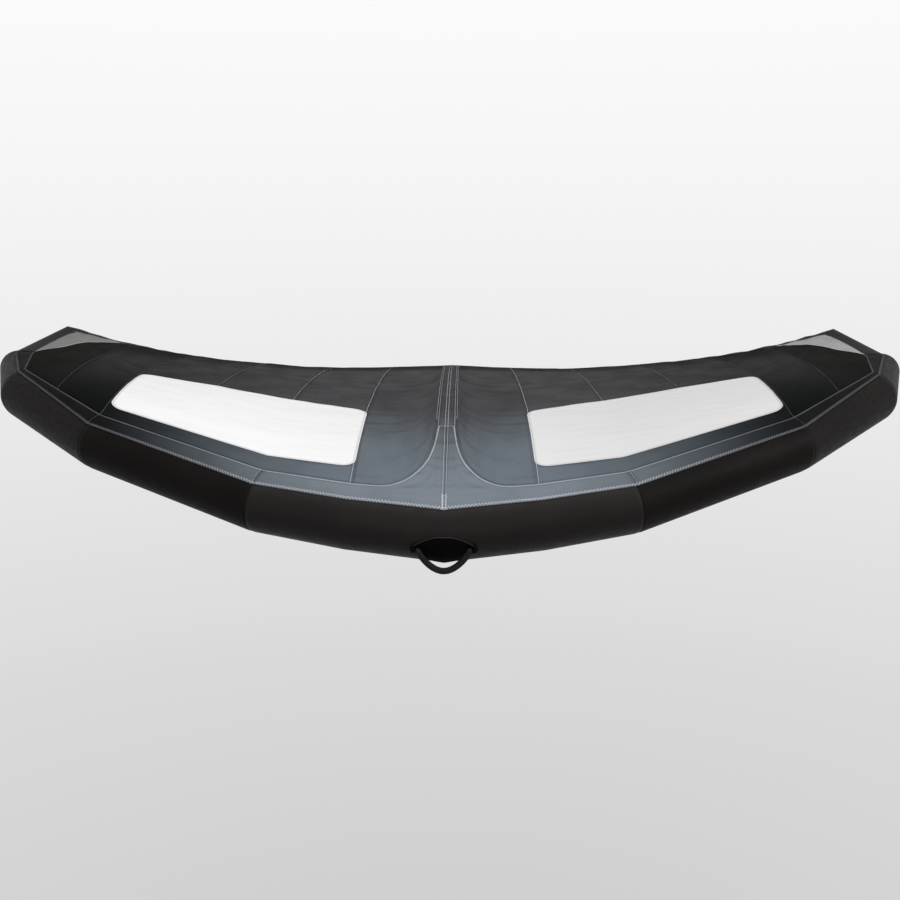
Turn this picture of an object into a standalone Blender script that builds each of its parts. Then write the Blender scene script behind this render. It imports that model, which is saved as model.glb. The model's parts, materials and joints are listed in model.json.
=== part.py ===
"""Wingfoil wing: a hand-held inflatable wing with a swept leading-edge tube, a centre strut and a cloth canopy.

Metres, +Z up. The leading edge faces -Y and the wing is symmetric about X = 0. The pieces are placed from
the middle of the leading-edge tube, and wing_frame then moves them so that the origin is the carry point:
the underside of the strut, between the feet of the front handle.
"""

import math

import bmesh
import bpy
from mathutils import Matrix, Vector

# Clearance between pieces that touch, and the small overrun of every cut
GAP = 0.0003
OVERRUN = 0.002

# Leading-edge tube: the end of its axis, and each bend as a share of that
TUBE_REACH = 1.490
TUBE_SWEEP = 0.889
TUBE_RISE = 0.2795
BEND_X_SHARES = (0, 0.1777, 0.3486, 0.6943, 0.9293, 1)
BEND_Y_SHARES = (0, 0.0232, 0.0784, 0.3512, 0.7471, 1)
BEND_Z_SHARES = (0, 0.088, 0.193, 0.580, 0.846, 1)
CENTRE_RADIUS = 0.098
END_RADIUS = 0.064
RADIUS_SHARES = (1, 0.92, 0.81, 0.65, 0.59, 0)
CASING_WALL = 0.0012
BLADDER_WALL = 0.0008
CASING_SIDES = 32
BLADDER_SIDES = 16
DOME_ANGLES = (30, 60)

# Where the canopy cloth meets the tube, in degrees forward of the tube's top, at each bend
SEAM_ANGLES = (45, 45, 45, 42, 21, 14)
LEAVE_ANGLES = (12, 12, 12, 12, 10, -12)
STRIP_ANGLES = (5, 5, 5, 5, 0)
STRIP_END_INSET = 0.064
STRIP_END_SETBACK = 0.019
HEM_END_ANGLE = 4

# Canopy: trailing edge, camber and cloth
CLOTH = 0.0008
CLOTH_LIFT = 0.0009
TRAIL_Y = 2.048
TRAIL_Z = 0.093
TIP_INSET = 0.062
TIP_SWEEP_DEPTH = 0.821
TIP_RISE = 0.287
TRAIL_SAG = 0.009
SAG_REACH_SHARE = 0.55
CAMBER_SHARE = 0.045
CREST_SHARE = 0.35
CAMBER_FADE_POWER = 12
HEM_WIDTH = 0.028
ROW_PITCH = 0.17

# Front centre cloth: a narrow band over the strut that opens into a scoop
BAND_HALF_WIDTH = 0.028
SCOOP_DEPTH = 0.475
SCOOP_X_SHARES = (0, 0.02, 0.045, 0.12, 0.24, 0.37, 0.58, 0.72, 1)
SCOOP_Y_SHARES = (1, 0.78, 0.61, 0.38, 0.215, 0.105, 0.021, 0.006, 0)

# Windows
WINDOW_SETBACK_INNER = 0.095
WINDOW_SETBACK_OUTER = 0.067
WINDOW_BACK_Y = 0.765
WINDOW_BACK_SHARES = (0.785, 0.915, 0.98, 1)
WINDOW_CORNER = 0.045
CORNER_STEP_SHARES = (0, 0.13, 0.4, 1)
OUTER_SEAM_SHARE = 0.55

# Tip patches: a crescent inside the hem
PATCH_INSET = 0.0385
PATCH_X_SHARES = (0, 0.14, 0.40, 0.52, 0.65, 1)
PATCH_Y_SHARES = (1, 0.83, 0.57, 0.40, 0.20, 0)
CORNER_INSET = 0.033
POINT_CLEARANCE = 0.0018

# Centre strut
STRUT_FRONT_Y = 0.055
STRUT_BACK_Y = 1.90
STRUT_RADIUS = 0.058
STRUT_END_RADIUS = 0.042
STRUT_SIDES = 24
STRUT_BLADDER_SIDES = 12
STRUT_BLADDER_FRONT_Y = 0.20
STRUT_BLADDER_INSET = 0.03

# Strut handles
FRONT_HANDLE_Y = 0.50
REAR_HANDLE_Y = 1.10
HANDLE_SPAN = 0.24
AXIS_DROP = 0.0145
GRIP_DROP = 0.058
GRIP_LENGTH = 0.13
GRIP_RADIUS = 0.0165
GRIP_BORE = 0.0134
GRIP_ROUND = 0.004
WEB_WIDTH = 0.025
WEB_THICKNESS = 0.0025
FOOT_LENGTH = 0.014
BEND_LENGTH = 0.012
SADDLE_MARGIN = 0.03
SADDLE_ANGLE = 45
SADDLE_WALL = 0.0016
LUG_LENGTH = 0.012
LUG_BELOW_AXIS = 0.006
GRIP_SIDES = 20

# Handle under the middle of the leading edge
BAIL_ANGLE = 112
BAIL_HALF_SPAN = 0.070
BAIL_DROP = 0.055
BAIL_SINK = 0.006
BAIL_RADIUS = 0.008
BAIL_POINTS = 17
PAD_HALF_WIDTH = 0.0875
PAD_MIDDLE_ANGLE = 116
PAD_UP_ANGLE = 26
PAD_DOWN_ANGLE = 36
PAD_WALL = 0.0014
PAD_COLUMNS = 12
PAD_END_SHARE = 0.16
EAR_LENGTH = 0.007

# Inflation valve, on the tube's underside
VALVE_X = 0.15
VALVE_ANGLE = -150
VALVE_RADIUS = 0.021
VALVE_BORE = 0.015
VALVE_INSIDE = 0.016
VALVE_OUTSIDE = 0.009
COLLAR_RADIUS = 0.028
COLLAR_BASE = 0.001
COLLAR_THICKNESS = 0.003
WEB_DEPTH = 0.011
SPIDER_THICKNESS = 0.0025
STEM_RADIUS = 0.003
STEM_CLEARANCE = 0.0004
SEAL_RADIUS = 0.013
SEAL_THICKNESS = 0.0025
BUTTON_RADIUS = 0.006
BUTTON_THICKNESS = 0.0025
STEM_PROUD = 0.006
AIR_HOLE_RADIUS = 0.0028
AIR_HOLE_COUNT = 4
CAP_RADIUS = 0.0205
CAP_THICKNESS = 0.0025
PLUG_CLEARANCE = 0.0005
PLUG_DEPTH = 0.0025
PLUG_WALL = 0.0015
HINGE_REACH = 0.0245
KNUCKLE_RADIUS = 0.0018
KNUCKLE_LENGTH = 0.006
HINGE_EAR = 0.0024
TURN_SIDES = 24

# Hose from the leading edge to the strut, with its pinch clamp
PORT_X = 0.085
PORT_ANGLE = -125
PORT_Y = 0.27
PORT_SIDE_ANGLE = -105
PORT_FLANGE = 0.013
PORT_FLANGE_THICKNESS = 0.0025
PORT_FLANGE_BASE = 0.0012
PORT_RADIUS = 0.0055
PORT_BORE = 0.0035
PORT_INSIDE = 0.010
PORT_OUTSIDE = 0.012
HOSE_RADIUS = 0.0085
HOSE_WALL = 0.0019
HOSE_POINTS = 15
HOSE_BULGE_SHARE = 0.9
CLAMP_LENGTH = 0.014
CLAMP_WIDTH = 0.026
CLAMP_HEIGHT = 0.024

# Zip in the casing's left side, and its slider
ZIP_ANGLE = -170
ZIP_HALF_WIDTH = 0.011
ZIP_START_X = 0.045
ZIP_END_X = 0.245
ZIP_WALL = 0.0012
SLIDER_LENGTH = 0.010
SLIDER_WIDTH = 0.008
SLIDER_HEIGHT = 0.005
SLIDER_AT_X = 0.060

# Leash loop under the tube, behind its bottom
LEASH_ANGLE = 206
LEASH_HALF_TURN = 13
LEASH_FOOT_TURN = 11
LEASH_DROP = 0.026
LEASH_CURVE_POINTS = 10

# Colour, roughness and metallic of each finish
FINISHES = {
    "dacron": ((0.020, 0.018, 0.019), 0.55, 0.0),
    "ripstop_dark": ((0.024, 0.028, 0.029), 0.6, 0.0),
    "ripstop_slate": ((0.14, 0.17, 0.195), 0.6, 0.0),
    "film": ((0.88, 0.87, 0.87), 0.15, 0.0),
    "silver_cloth": ((0.40, 0.40, 0.40), 0.55, 0.0),
    "hem_tape": ((0.015, 0.014, 0.015), 0.6, 0.0),
    "bladder_film": ((0.62, 0.66, 0.66), 0.3, 0.0),
    "webbing": ((0.018, 0.018, 0.019), 0.8, 0.0),
    "foam": ((0.025, 0.025, 0.026), 0.9, 0.0),
    "pad": ((0.006, 0.006, 0.006), 0.9, 0.0),
    "valve_plastic": ((0.03, 0.03, 0.032), 0.4, 0.0),
    "seal_rubber": ((0.32, 0.32, 0.33), 0.5, 0.0),
    "hose_silicone": ((0.55, 0.57, 0.58), 0.35, 0.0),
    "clamp_plastic": ((0.75, 0.76, 0.77), 0.4, 0.0),
    "slider_metal": ((0.4, 0.4, 0.42), 0.35, 1.0),
}

RIGHT = 1
LEFT = -1
SIDE_NAMES = {RIGHT: "right", LEFT: "left"}
FULL_TURN = 360


# Scene and objects


def clear_scene():
    for found in list(bpy.data.objects):
        bpy.data.objects.remove(found, do_unlink=True)


def new_collection(name):
    made = bpy.data.collections.new(name)
    bpy.context.scene.collection.children.link(made)
    return made


def finish(name):
    if name in bpy.data.materials:
        return bpy.data.materials[name]
    colour, roughness, metallic = FINISHES[name]
    made = bpy.data.materials.new(name)
    made.use_nodes = True
    shader = made.node_tree.nodes["Principled BSDF"]
    shader.inputs["Base Color"].default_value = (*colour, 1)
    shader.inputs["Roughness"].default_value = roughness
    shader.inputs["Metallic"].default_value = metallic
    return made


def add_part(name, data, finish_name, parent=None):
    made = bpy.data.objects.new(name, data)
    parts.objects.link(made)
    data.materials.append(finish(finish_name))
    made.parent = parent or wing_frame
    return made


def add_cutter(name, data, parent=None):
    made = bpy.data.objects.new(name, data)
    cutters.objects.link(made)
    made.hide_render = True
    made.display_type = "WIRE"
    made.parent = parent or wing_frame
    return made


def add_empty(name, place, parent=None):
    made = bpy.data.objects.new(name, None)
    parts.objects.link(made)
    made.location = place
    made.parent = parent
    return made


def solidify(target, thickness, offset):
    made = target.modifiers.new("wall", "SOLIDIFY")
    made.thickness = thickness
    made.offset = offset
    return made


def boolean(target, other, operation="DIFFERENCE"):
    made = target.modifiers.new(other.name, "BOOLEAN")
    made.operation = operation
    made.object = other
    return made


def mesh_from(bm, name):
    data = bpy.data.meshes.new(name)
    bm.to_mesh(data)
    bm.free()
    data.shade_smooth()
    return data


def at_frame(place, normal, along):
    """A matrix whose Z is normal and whose X is near along."""
    z = normal.normalized()
    x = (along - z * along.dot(z)).normalized()
    turned_frame = Matrix((x, z.cross(x), z)).transposed().to_4x4()
    turned_frame.translation = place
    return turned_frame


# Mesh makers


def skin_mesh(name, chain, looped=False):
    """Joins each ring of points to the next. A ring of one point closes an end."""
    bm = bmesh.new()
    rows = [[bm.verts.new(point) for point in ring] for ring in chain]
    pairs = list(zip(rows, rows[1:]))
    if looped:
        pairs.append((rows[-1], rows[0]))
    for first, second in pairs:
        count = max(len(first), len(second))
        if count == 1:
            continue
        for k in range(count):
            corners = (
                first[k % len(first)],
                first[(k + 1) % len(first)],
                second[(k + 1) % len(second)],
                second[k % len(second)],
            )
            bm.faces.new(list(dict.fromkeys(corners)))
    bmesh.ops.recalc_face_normals(bm, faces=bm.faces)
    return mesh_from(bm, name)


def sheet_mesh(name, columns, side=RIGHT):
    """A grid whose columns of points run from front to back, facing up. The left side is its mirror image."""
    across = len(columns) - 1
    along = len(columns[0]) - 1
    bm = bmesh.new()
    bmesh.ops.create_grid(bm, x_segments=across, y_segments=along, size=1)
    for vertex in bm.verts:
        j = round((vertex.co.x + 1) / 2 * across)
        k = round((vertex.co.y + 1) / 2 * along)
        point = columns[j][k]
        vertex.co = (point.x * side, point.y, point.z)
    if side == LEFT:
        bmesh.ops.reverse_faces(bm, faces=bm.faces)
    return mesh_from(bm, name)


def turned(name, profile, sides, finish_name, parent, matrix):
    """Turns a closed outline of (radius, height) points about local Z. Its outer side runs down."""
    data = bpy.data.meshes.new(name)
    count = len(profile)
    on_axis = profile[0][0] == 0
    edges = [(k, (k + 1) % count) for k in range(count - on_axis)]
    data.from_pydata([(radius, 0, height) for radius, height in profile], edges, [])
    made = add_part(name, data, finish_name, parent)
    made.matrix_local = matrix
    screw = made.modifiers.new("turn", "SCREW")
    screw.steps = sides
    screw.render_steps = sides
    screw.use_merge_vertices = True
    screw.merge_threshold = 0.00001
    return made


def box_mesh(name, size, matrix=None):
    bm = bmesh.new()
    bmesh.ops.create_cube(bm, size=1)
    bmesh.ops.scale(bm, vec=size, verts=bm.verts)
    if matrix:
        bmesh.ops.transform(bm, matrix=matrix, verts=bm.verts)
    return mesh_from(bm, name)


def rod_mesh(name, radius, length, sides, matrix=None):
    bm = bmesh.new()
    bmesh.ops.create_cone(
        bm, cap_ends=True, segments=sides, radius1=radius, radius2=radius, depth=length
    )
    if matrix:
        bmesh.ops.transform(bm, matrix=matrix, verts=bm.verts)
    return mesh_from(bm, name)


def bore_through(target, place, normal, radius, depth, parent=None):
    """Cuts a round hole whose axis passes place along normal, depth each way."""
    matrix = at_frame(place, normal, Vector((1, 0, 0)))
    data = rod_mesh(target.name + "_bore", radius, 2 * depth, TURN_SIDES, matrix)
    boolean(target, add_cutter(target.name + "_bore", data, parent))


# Leading-edge tube


def bend(i):
    """The tube's axis at bend i, counted outwards from the middle, negative on the left."""
    k = abs(i)
    x = TUBE_REACH * BEND_X_SHARES[k] * (LEFT if i < 0 else RIGHT)
    return Vector((x, TUBE_SWEEP * BEND_Y_SHARES[k], TUBE_RISE * BEND_Z_SHARES[k]))


def tube_radius(i):
    return END_RADIUS + (CENTRE_RADIUS - END_RADIUS) * RADIUS_SHARES[abs(i)]


LAST_BEND = len(BEND_X_SHARES) - 1


def tube_point(i, degrees, radius):
    """A point round bend i, on the plane that halves the bend, degrees forward of the top."""
    k = abs(i)
    inner = (bend(k) - bend(k - 1)).normalized() if k else Vector((1, 0, 0))
    outer = (bend(k + 1) - bend(k)).normalized() if k < LAST_BEND else inner
    along = (inner + outer).normalized() if k else Vector((1, 0, 0))
    forward = along.cross(Vector((0, 0, 1))).normalized()
    upward = forward.cross(along)
    turn = math.radians(degrees)
    out = upward * math.cos(turn) + forward * math.sin(turn)
    reach = radius / math.sqrt(1 - out.dot(outer) ** 2)
    point = bend(k) + out * reach
    return Vector((point.x * (LEFT if i < 0 else RIGHT), point.y, point.z))


def tube_between(i, share, degrees, lift):
    """A point lift above the casing, share of the way from bend i to the next one out."""
    first = tube_point(i, degrees, tube_radius(i) + lift)
    second = tube_point(i + 1, degrees, tube_radius(i + 1) + lift)
    return first.lerp(second, share)


def tube_at_x(x, degrees, lift):
    """The same on the two inner stretches, at a distance x from the centre plane."""
    i = 0 if x <= bend(1).x else 1
    share = (x - bend(i).x) / (bend(i + 1).x - bend(i).x)
    return tube_between(i, share, degrees, lift)


def tube_ring(i, inset, sides, shift=Vector()):
    step = FULL_TURN / sides
    radius = tube_radius(i) - inset
    return [tube_point(i, k * step, radius) + shift for k in range(sides)]


def tube_dome(side, inset, sides):
    """The rings of the round end past the last bend, and its pole."""
    along = (bend(side * LAST_BEND) - bend(side * (LAST_BEND - 1))).normalized()
    centre = bend(side * LAST_BEND)
    radius = tube_radius(LAST_BEND) - inset
    ring = tube_ring(side * LAST_BEND, inset, sides)
    made = []
    for degrees in DOME_ANGLES:
        turn = math.radians(degrees)
        out = along * radius * math.sin(turn)
        made.append([centre + (point - centre) * math.cos(turn) + out for point in ring])
    made.append([centre + along * radius])
    return made


def casing_section(name, bends, dome_side=0):
    """A length of casing through the bends given. Its ends stay half a gap inside the mitre planes."""
    first = (bend(bends[1]) - bend(bends[0])).normalized() * GAP / 2
    last = (bend(bends[-2]) - bend(bends[-1])).normalized() * GAP / 2
    shifts = {bends[0]: first}
    if not dome_side:
        shifts[bends[-1]] = last
    outer = [tube_ring(i, 0, CASING_SIDES, shifts.get(i, Vector())) for i in bends]
    inner = [tube_ring(i, CASING_WALL, CASING_SIDES, shifts.get(i, Vector())) for i in bends]
    if dome_side:
        outer += tube_dome(dome_side, 0, CASING_SIDES)
        inner += tube_dome(dome_side, CASING_WALL, CASING_SIDES)
    return add_part(name, skin_mesh(name, outer + inner[::-1], looped=True), "dacron")


def make_leading_edge():
    centre = casing_section("le_casing_centre", (-2, -1, 0, 1, 2))
    for side, word in SIDE_NAMES.items():
        casing_section("le_casing_mid_" + word, (side * 2, side * 3))
        casing_section("le_casing_outer_" + word, (side * 3, side * 4))
        casing_section("le_casing_tip_" + word, (side * 4, side * 5), side)
    inset = CASING_WALL + GAP
    chain = tube_dome(LEFT, inset, BLADDER_SIDES)[::-1]
    for i in range(-LAST_BEND, LAST_BEND + 1):
        chain.append(tube_ring(i, inset, BLADDER_SIDES))
    chain += tube_dome(RIGHT, inset, BLADDER_SIDES)
    bladder = add_part("le_bladder", skin_mesh("le_bladder", chain), "bladder_film")
    solidify(bladder, BLADDER_WALL, -1)
    return centre, bladder


# Canopy surface


def leave_point(i):
    """Where the cloth leaves the tube at bend i."""
    return tube_point(i, LEAVE_ANGLES[i], tube_radius(i) + CLOTH_LIFT)


def strip_point(i):
    """Plan place of the strip's back seam at bend i."""
    return tube_point(i, STRIP_ANGLES[i], tube_radius(i) + CLOTH_LIFT)


def along_line(points, x):
    """The point at x on a line through points whose x grows. Past its ends the line runs on."""
    k = 1
    while k < len(points) - 1 and x > points[k].x:
        k += 1
    first, second = points[k - 1], points[k]
    return first.lerp(second, (x - first.x) / (second.x - first.x))


LEAVE_LINE = [leave_point(i) for i in range(LAST_BEND + 1)]
STRIP_LINE = [strip_point(i) for i in range(LAST_BEND)]
STRIP_LINE.append(Vector((TUBE_REACH - STRIP_END_INSET, TUBE_SWEEP - STRIP_END_SETBACK, 0)))
TIP_X = TUBE_REACH - TIP_INSET
HEM_END = tube_point(LAST_BEND, HEM_END_ANGLE, END_RADIUS + CLOTH_LIFT)
TIP_POINT = Vector((TIP_X, TRAIL_Y - TIP_SWEEP_DEPTH, TRAIL_Z + TIP_RISE))


def trailing_point(x):
    """The canopy's back edge at x: the trailing edge, then the tip edge from the corner to the tube."""
    if x > TIP_X:
        return TIP_POINT.lerp(HEM_END, min((x - TIP_X) / (HEM_END.x - TIP_X), 1))
    share = x / TIP_X
    dip_share = min(share / SAG_REACH_SHARE, 1)
    z = TRAIL_Z + TIP_RISE * share**3 - TRAIL_SAG * math.sin(math.pi * dip_share)
    return Vector((x, TRAIL_Y - TIP_SWEEP_DEPTH * share**2, z))


def camber(share):
    """Height of the camber line over its crest's, share of the way back."""
    if share < CREST_SHARE:
        return (2 * CREST_SHARE * share - share**2) / CREST_SHARE**2
    return (1 - 2 * CREST_SHARE + 2 * CREST_SHARE * share - share**2) / (1 - CREST_SHARE) ** 2


def tube_height(x, y):
    """How high the tube stands over the plan place x, y, or 0 beside it."""
    highest = 0
    for i in range(1, LAST_BEND):
        run = bend(i + 1) - bend(i)
        flat = Vector((run.x, run.y))
        offset = Vector((x - bend(i).x, y - bend(i).y))
        share = min(max(offset.dot(flat) / flat.length_squared, 0), 1)
        radius = tube_radius(i) + (tube_radius(i + 1) - tube_radius(i)) * share
        aside = (offset - flat * share).length
        if aside < radius:
            rise = math.sqrt(radius**2 - aside**2) * run.length / flat.length
            highest = max(highest, (bend(i) + run * share).z + rise)
    return highest


def canopy_point(x, y):
    """The underside of the canopy over the plan place x, y on the right-hand side."""
    front = along_line(LEAVE_LINE, x)
    back = trailing_point(x)
    chord = back.y - front.y
    share = min(max((y - front.y) / chord, 0), 1) if chord > GAP else 0
    fade_share = 1 - min(x / TIP_X, 1) ** CAMBER_FADE_POWER
    rise = CAMBER_SHARE * chord * camber(share) * fade_share
    height = front.z + (back.z - front.z) * share + rise
    return Vector((x, y, max(height, tube_height(x, y) + CLOTH_LIFT)))


# Seams of the canopy, as plan lines on the right-hand side

SEAM_1_X = STRIP_LINE[1].x
SEAM_2_X = STRIP_LINE[2].x
SEAM_4_X = STRIP_LINE[3].x
SEAM_3_X = (SEAM_2_X + SEAM_4_X) / 2
SEAM_5_X = SEAM_4_X + (STRIP_LINE[4].x - SEAM_4_X) * OUTER_SEAM_SHARE
PATCH_START_X = SEAM_5_X + PATCH_INSET
CORNER_X = TIP_X - CORNER_INSET
HEM_FRONT = STRIP_LINE[-1]


def strip_back(x):
    return along_line(STRIP_LINE, x).y


def scoop_xs():
    reach = SEAM_1_X - BAND_HALF_WIDTH
    return [BAND_HALF_WIDTH + reach * share for share in SCOOP_X_SHARES]


def scoop_back(x):
    """The scoop's curved seam: back along the strut near the middle, then along the strip."""
    if x >= SEAM_1_X:
        return strip_back(x)
    depths = [SCOOP_DEPTH * share for share in SCOOP_Y_SHARES]
    line = [Vector((place, depth, 0)) for place, depth in zip(scoop_xs(), depths)]
    depth = depths[0] if x <= BAND_HALF_WIDTH else along_line(line, x).y
    return strip_back(x) + depth


def corner_pull(x):
    """How far the window's round corners draw its edges in at x."""
    from_end = min(x - SEAM_1_X, SEAM_4_X - x)
    if from_end >= WINDOW_CORNER:
        return 0
    rest = WINDOW_CORNER - max(from_end, 0)
    return WINDOW_CORNER - math.sqrt(WINDOW_CORNER**2 - rest**2)


def window_front(x):
    share = (x - SEAM_1_X) / (SEAM_4_X - SEAM_1_X)
    setback = WINDOW_SETBACK_INNER + (WINDOW_SETBACK_OUTER - WINDOW_SETBACK_INNER) * share
    return strip_back(x) + setback + corner_pull(x)


def window_back(x):
    xs = (SEAM_1_X, SEAM_2_X, SEAM_3_X, SEAM_4_X)
    line = [Vector((at, WINDOW_BACK_Y * share, 0)) for at, share in zip(xs, WINDOW_BACK_SHARES)]
    return along_line(line, x).y - corner_pull(x)


def hem_setback(x):
    """The hem's width measured along Y, where the edge slants."""
    slope = 2 * TIP_SWEEP_DEPTH * x / TIP_X**2
    return HEM_WIDTH * math.sqrt(1 + slope**2)


def hem_inner(x):
    """The inner line of the hem: inside the trailing edge, then inside the tip edge."""
    if x <= CORNER_X:
        return trailing_point(x).y - hem_setback(x)
    corner_y = trailing_point(CORNER_X).y - hem_setback(CORNER_X)
    share = (x - CORNER_X) / (HEM_FRONT.x - CORNER_X)
    return corner_y + (HEM_FRONT.y - corner_y) * share


def patch_front(x):
    """The inner curve of the pale tip patch."""
    start_y = trailing_point(PATCH_START_X).y - hem_setback(PATCH_START_X)
    reach = HEM_FRONT.x - PATCH_START_X
    line = [
        Vector((PATCH_START_X + reach * sx, HEM_FRONT.y + (start_y - HEM_FRONT.y) * sy, 0))
        for sx, sy in zip(PATCH_X_SHARES, PATCH_Y_SHARES)
    ]
    return along_line(line, x).y


def outer_back(x):
    return hem_inner(x) if x < PATCH_START_X else patch_front(x)


def steps(first, last, count):
    return [first + (last - first) * k / count for k in range(count + 1)]


def plan_line(columns, line):
    return [Vector((x, line(x))) for x in columns]


def offset_line(points, amount, inset=GAP / 2):
    """The plan line moved sideways, to larger Y for a positive amount. Each end stays inset from its seam."""
    runs = [(after - before).normalized() for before, after in zip(points, points[1:])]
    normals = [Vector((-run.y, run.x)) for run in runs]
    made = []
    for point, first, second in zip(points, normals[:1] + normals, normals + normals[-1:]):
        made.append(point + (first + second) * amount / (1 + first.dot(second)))
    made[0] += runs[0] * (points[0].x + inset - made[0].x) / runs[0].x
    made[-1] += runs[-1] * (points[-1].x - inset - made[-1].x) / runs[-1].x
    return made


def rows_for(columns, front, back):
    longest = max(back(x) - front(x) for x in columns)
    return max(round(longest / ROW_PITCH), 1)


def canopy_columns(front_line, back_line, rows):
    """Columns of canopy points between two plan lines, half a gap inside the panel's edges."""
    lows = offset_line(front_line, GAP / 2)
    highs = offset_line(back_line, -GAP / 2)
    made = []
    for low, high in zip(lows, highs):
        made.append([canopy_point(*low.lerp(high, share)) for share in steps(0, 1, rows)])
    return made


def cloth_part(name, columns, side, finish_name):
    made = add_part(name, sheet_mesh(name, columns, side), finish_name)
    solidify(made, CLOTH, 1)
    return made


def mirrored_cloth(name, columns, finish_name):
    for side, word in SIDE_NAMES.items():
        cloth_part(name + "_" + word, columns, side, finish_name)


def panel(name, columns, front, back, finish_name):
    """A canopy panel on each side."""
    rows = rows_for(columns, front, back)
    points = canopy_columns(plan_line(columns, front), plan_line(columns, back), rows)
    mirrored_cloth(name, points, finish_name)


def make_scoop():
    """The front centre cloth: over the tube, then back along the strut between two curved seams."""
    xs = [0] + scoop_xs() + steps(SEAM_1_X, SEAM_2_X, 2)[1:]
    back_rows = rows_for(xs, lambda x: along_line(LEAVE_LINE, x).y, scoop_back)
    backs = offset_line(plan_line(xs, scoop_back), -GAP / 2)
    columns = []
    for place, (x, back) in enumerate(zip(xs, backs)):
        inset = GAP / 2 if place == 0 else -GAP / 2 if place == len(xs) - 1 else 0
        tube_x = bend(2).x * x / SEAM_2_X
        column = []
        for degrees in steps(SEAM_ANGLES[0], LEAVE_ANGLES[0], 3):
            column.append(tube_at_x(tube_x, degrees, CLOTH_LIFT) + Vector((inset, 0, 0)))
        leave = Vector((column[-1].x, column[-1].y))
        for share in steps(0, 1, back_rows)[1:]:
            column.append(canopy_point(*leave.lerp(back, share)))
        columns.append(column)
    mirrored_cloth("canopy_scoop", columns, "ripstop_slate")
    return [point.y for point in columns[0][-back_rows - 1 :]]


def make_strip(name, i, finish_name):
    """The cloth strip over the tube's top, from bend i to the next one out."""
    run = STRIP_LINE[i + 1] - STRIP_LINE[i]
    sideways = Vector((-run.y, run.x, 0)).normalized()
    columns = []
    for share, sign in ((0, 1), (1 / 2, 0), (1, -1)):
        inset = (bend(i + 1) - bend(i)).normalized() * sign * GAP / 2
        seam = SEAM_ANGLES[i] + (SEAM_ANGLES[i + 1] - SEAM_ANGLES[i]) * share
        leave = LEAVE_ANGLES[i] + (LEAVE_ANGLES[i + 1] - LEAVE_ANGLES[i]) * share
        column = []
        for degrees in steps(seam, leave, 3):
            column.append(tube_between(i, share, degrees, CLOTH_LIFT) + inset)
        back = STRIP_LINE[i].lerp(STRIP_LINE[i + 1], share) + inset - sideways * GAP / 2
        column.append(canopy_point(*column[-1].xy.lerp(back.xy, 1 / 2)))
        column.append(canopy_point(*back.xy))
        columns.append(column)
    mirrored_cloth(name, columns, finish_name)


def window_columns():
    corner = [WINDOW_CORNER * share for share in CORNER_STEP_SHARES]
    inner = [SEAM_1_X + reach for reach in corner]
    outer = [SEAM_4_X - reach for reach in reversed(corner)]
    middle_1 = (inner[-1] + SEAM_2_X) / 2
    middle_2 = (SEAM_2_X + SEAM_3_X) / 2
    middle_3 = (SEAM_3_X + outer[0]) / 2
    return inner + [middle_1, SEAM_2_X, middle_2, SEAM_3_X, middle_3] + outer


def between(columns, low, high):
    """The columns from low to high, both ends included."""
    return [low] + [x for x in columns if low + GAP < x < high - GAP] + [high]


def make_windows_and_frames():
    columns = window_columns()
    panel("window", columns, window_front, window_back, "film")
    panel("canopy_front", columns, strip_back, window_front, "ripstop_dark")
    rear_a = between(columns, SEAM_1_X, SEAM_2_X)
    panel("canopy_rear_a", rear_a, window_back, hem_inner, "ripstop_slate")
    rear_b = between(columns, SEAM_2_X, SEAM_3_X)
    panel("canopy_rear_b", rear_b, window_back, hem_inner, "ripstop_dark")
    rear_c = between(columns, SEAM_3_X, SEAM_4_X)
    panel("canopy_rear_c", rear_c, window_back, hem_inner, "ripstop_dark")


def make_middle_panels():
    """The band over the strut, and the panel between the scoop and the window on each side."""
    rows = round((hem_inner(0) - scoop_back(0)) / ROW_PITCH)
    columns = []
    for x in (-BAND_HALF_WIDTH, 0, BAND_HALF_WIDTH):
        inset = GAP / 2 * (x < 0) - GAP / 2 * (x > 0)
        front = scoop_back(abs(x)) + GAP / 2
        back = hem_inner(abs(x)) - GAP / 2
        points = [canopy_point(abs(x), y) for y in steps(front, back, rows)]
        columns.append([Vector((x + inset, point.y, point.z)) for point in points])
    cloth_part("canopy_band", columns, RIGHT, "ripstop_slate")
    panel("canopy_inner", scoop_xs(), scoop_back, hem_inner, "ripstop_slate")
    return [point.y for point in columns[1]]


def make_outer_panels():
    outer_a = steps(SEAM_4_X, SEAM_5_X, 2)
    panel("canopy_outer_a", outer_a, strip_back, hem_inner, "ripstop_dark")
    reach = HEM_FRONT.x - PATCH_START_X
    patch_xs = [PATCH_START_X + reach * share for share in PATCH_X_SHARES]
    outer_b = sorted([SEAM_5_X, STRIP_LINE[4].x] + patch_xs[:-1])
    outer_b.append(HEM_FRONT.x - POINT_CLEARANCE)
    panel("canopy_outer_b", outer_b, strip_back, outer_back, "ripstop_dark")
    patch = sorted(patch_xs[1:-1] + [PATCH_START_X + POINT_CLEARANCE, CORNER_X, HEM_FRONT.x - 2 * GAP])
    panel("tip_patch", patch, patch_front, hem_inner, "silver_cloth")


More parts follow.
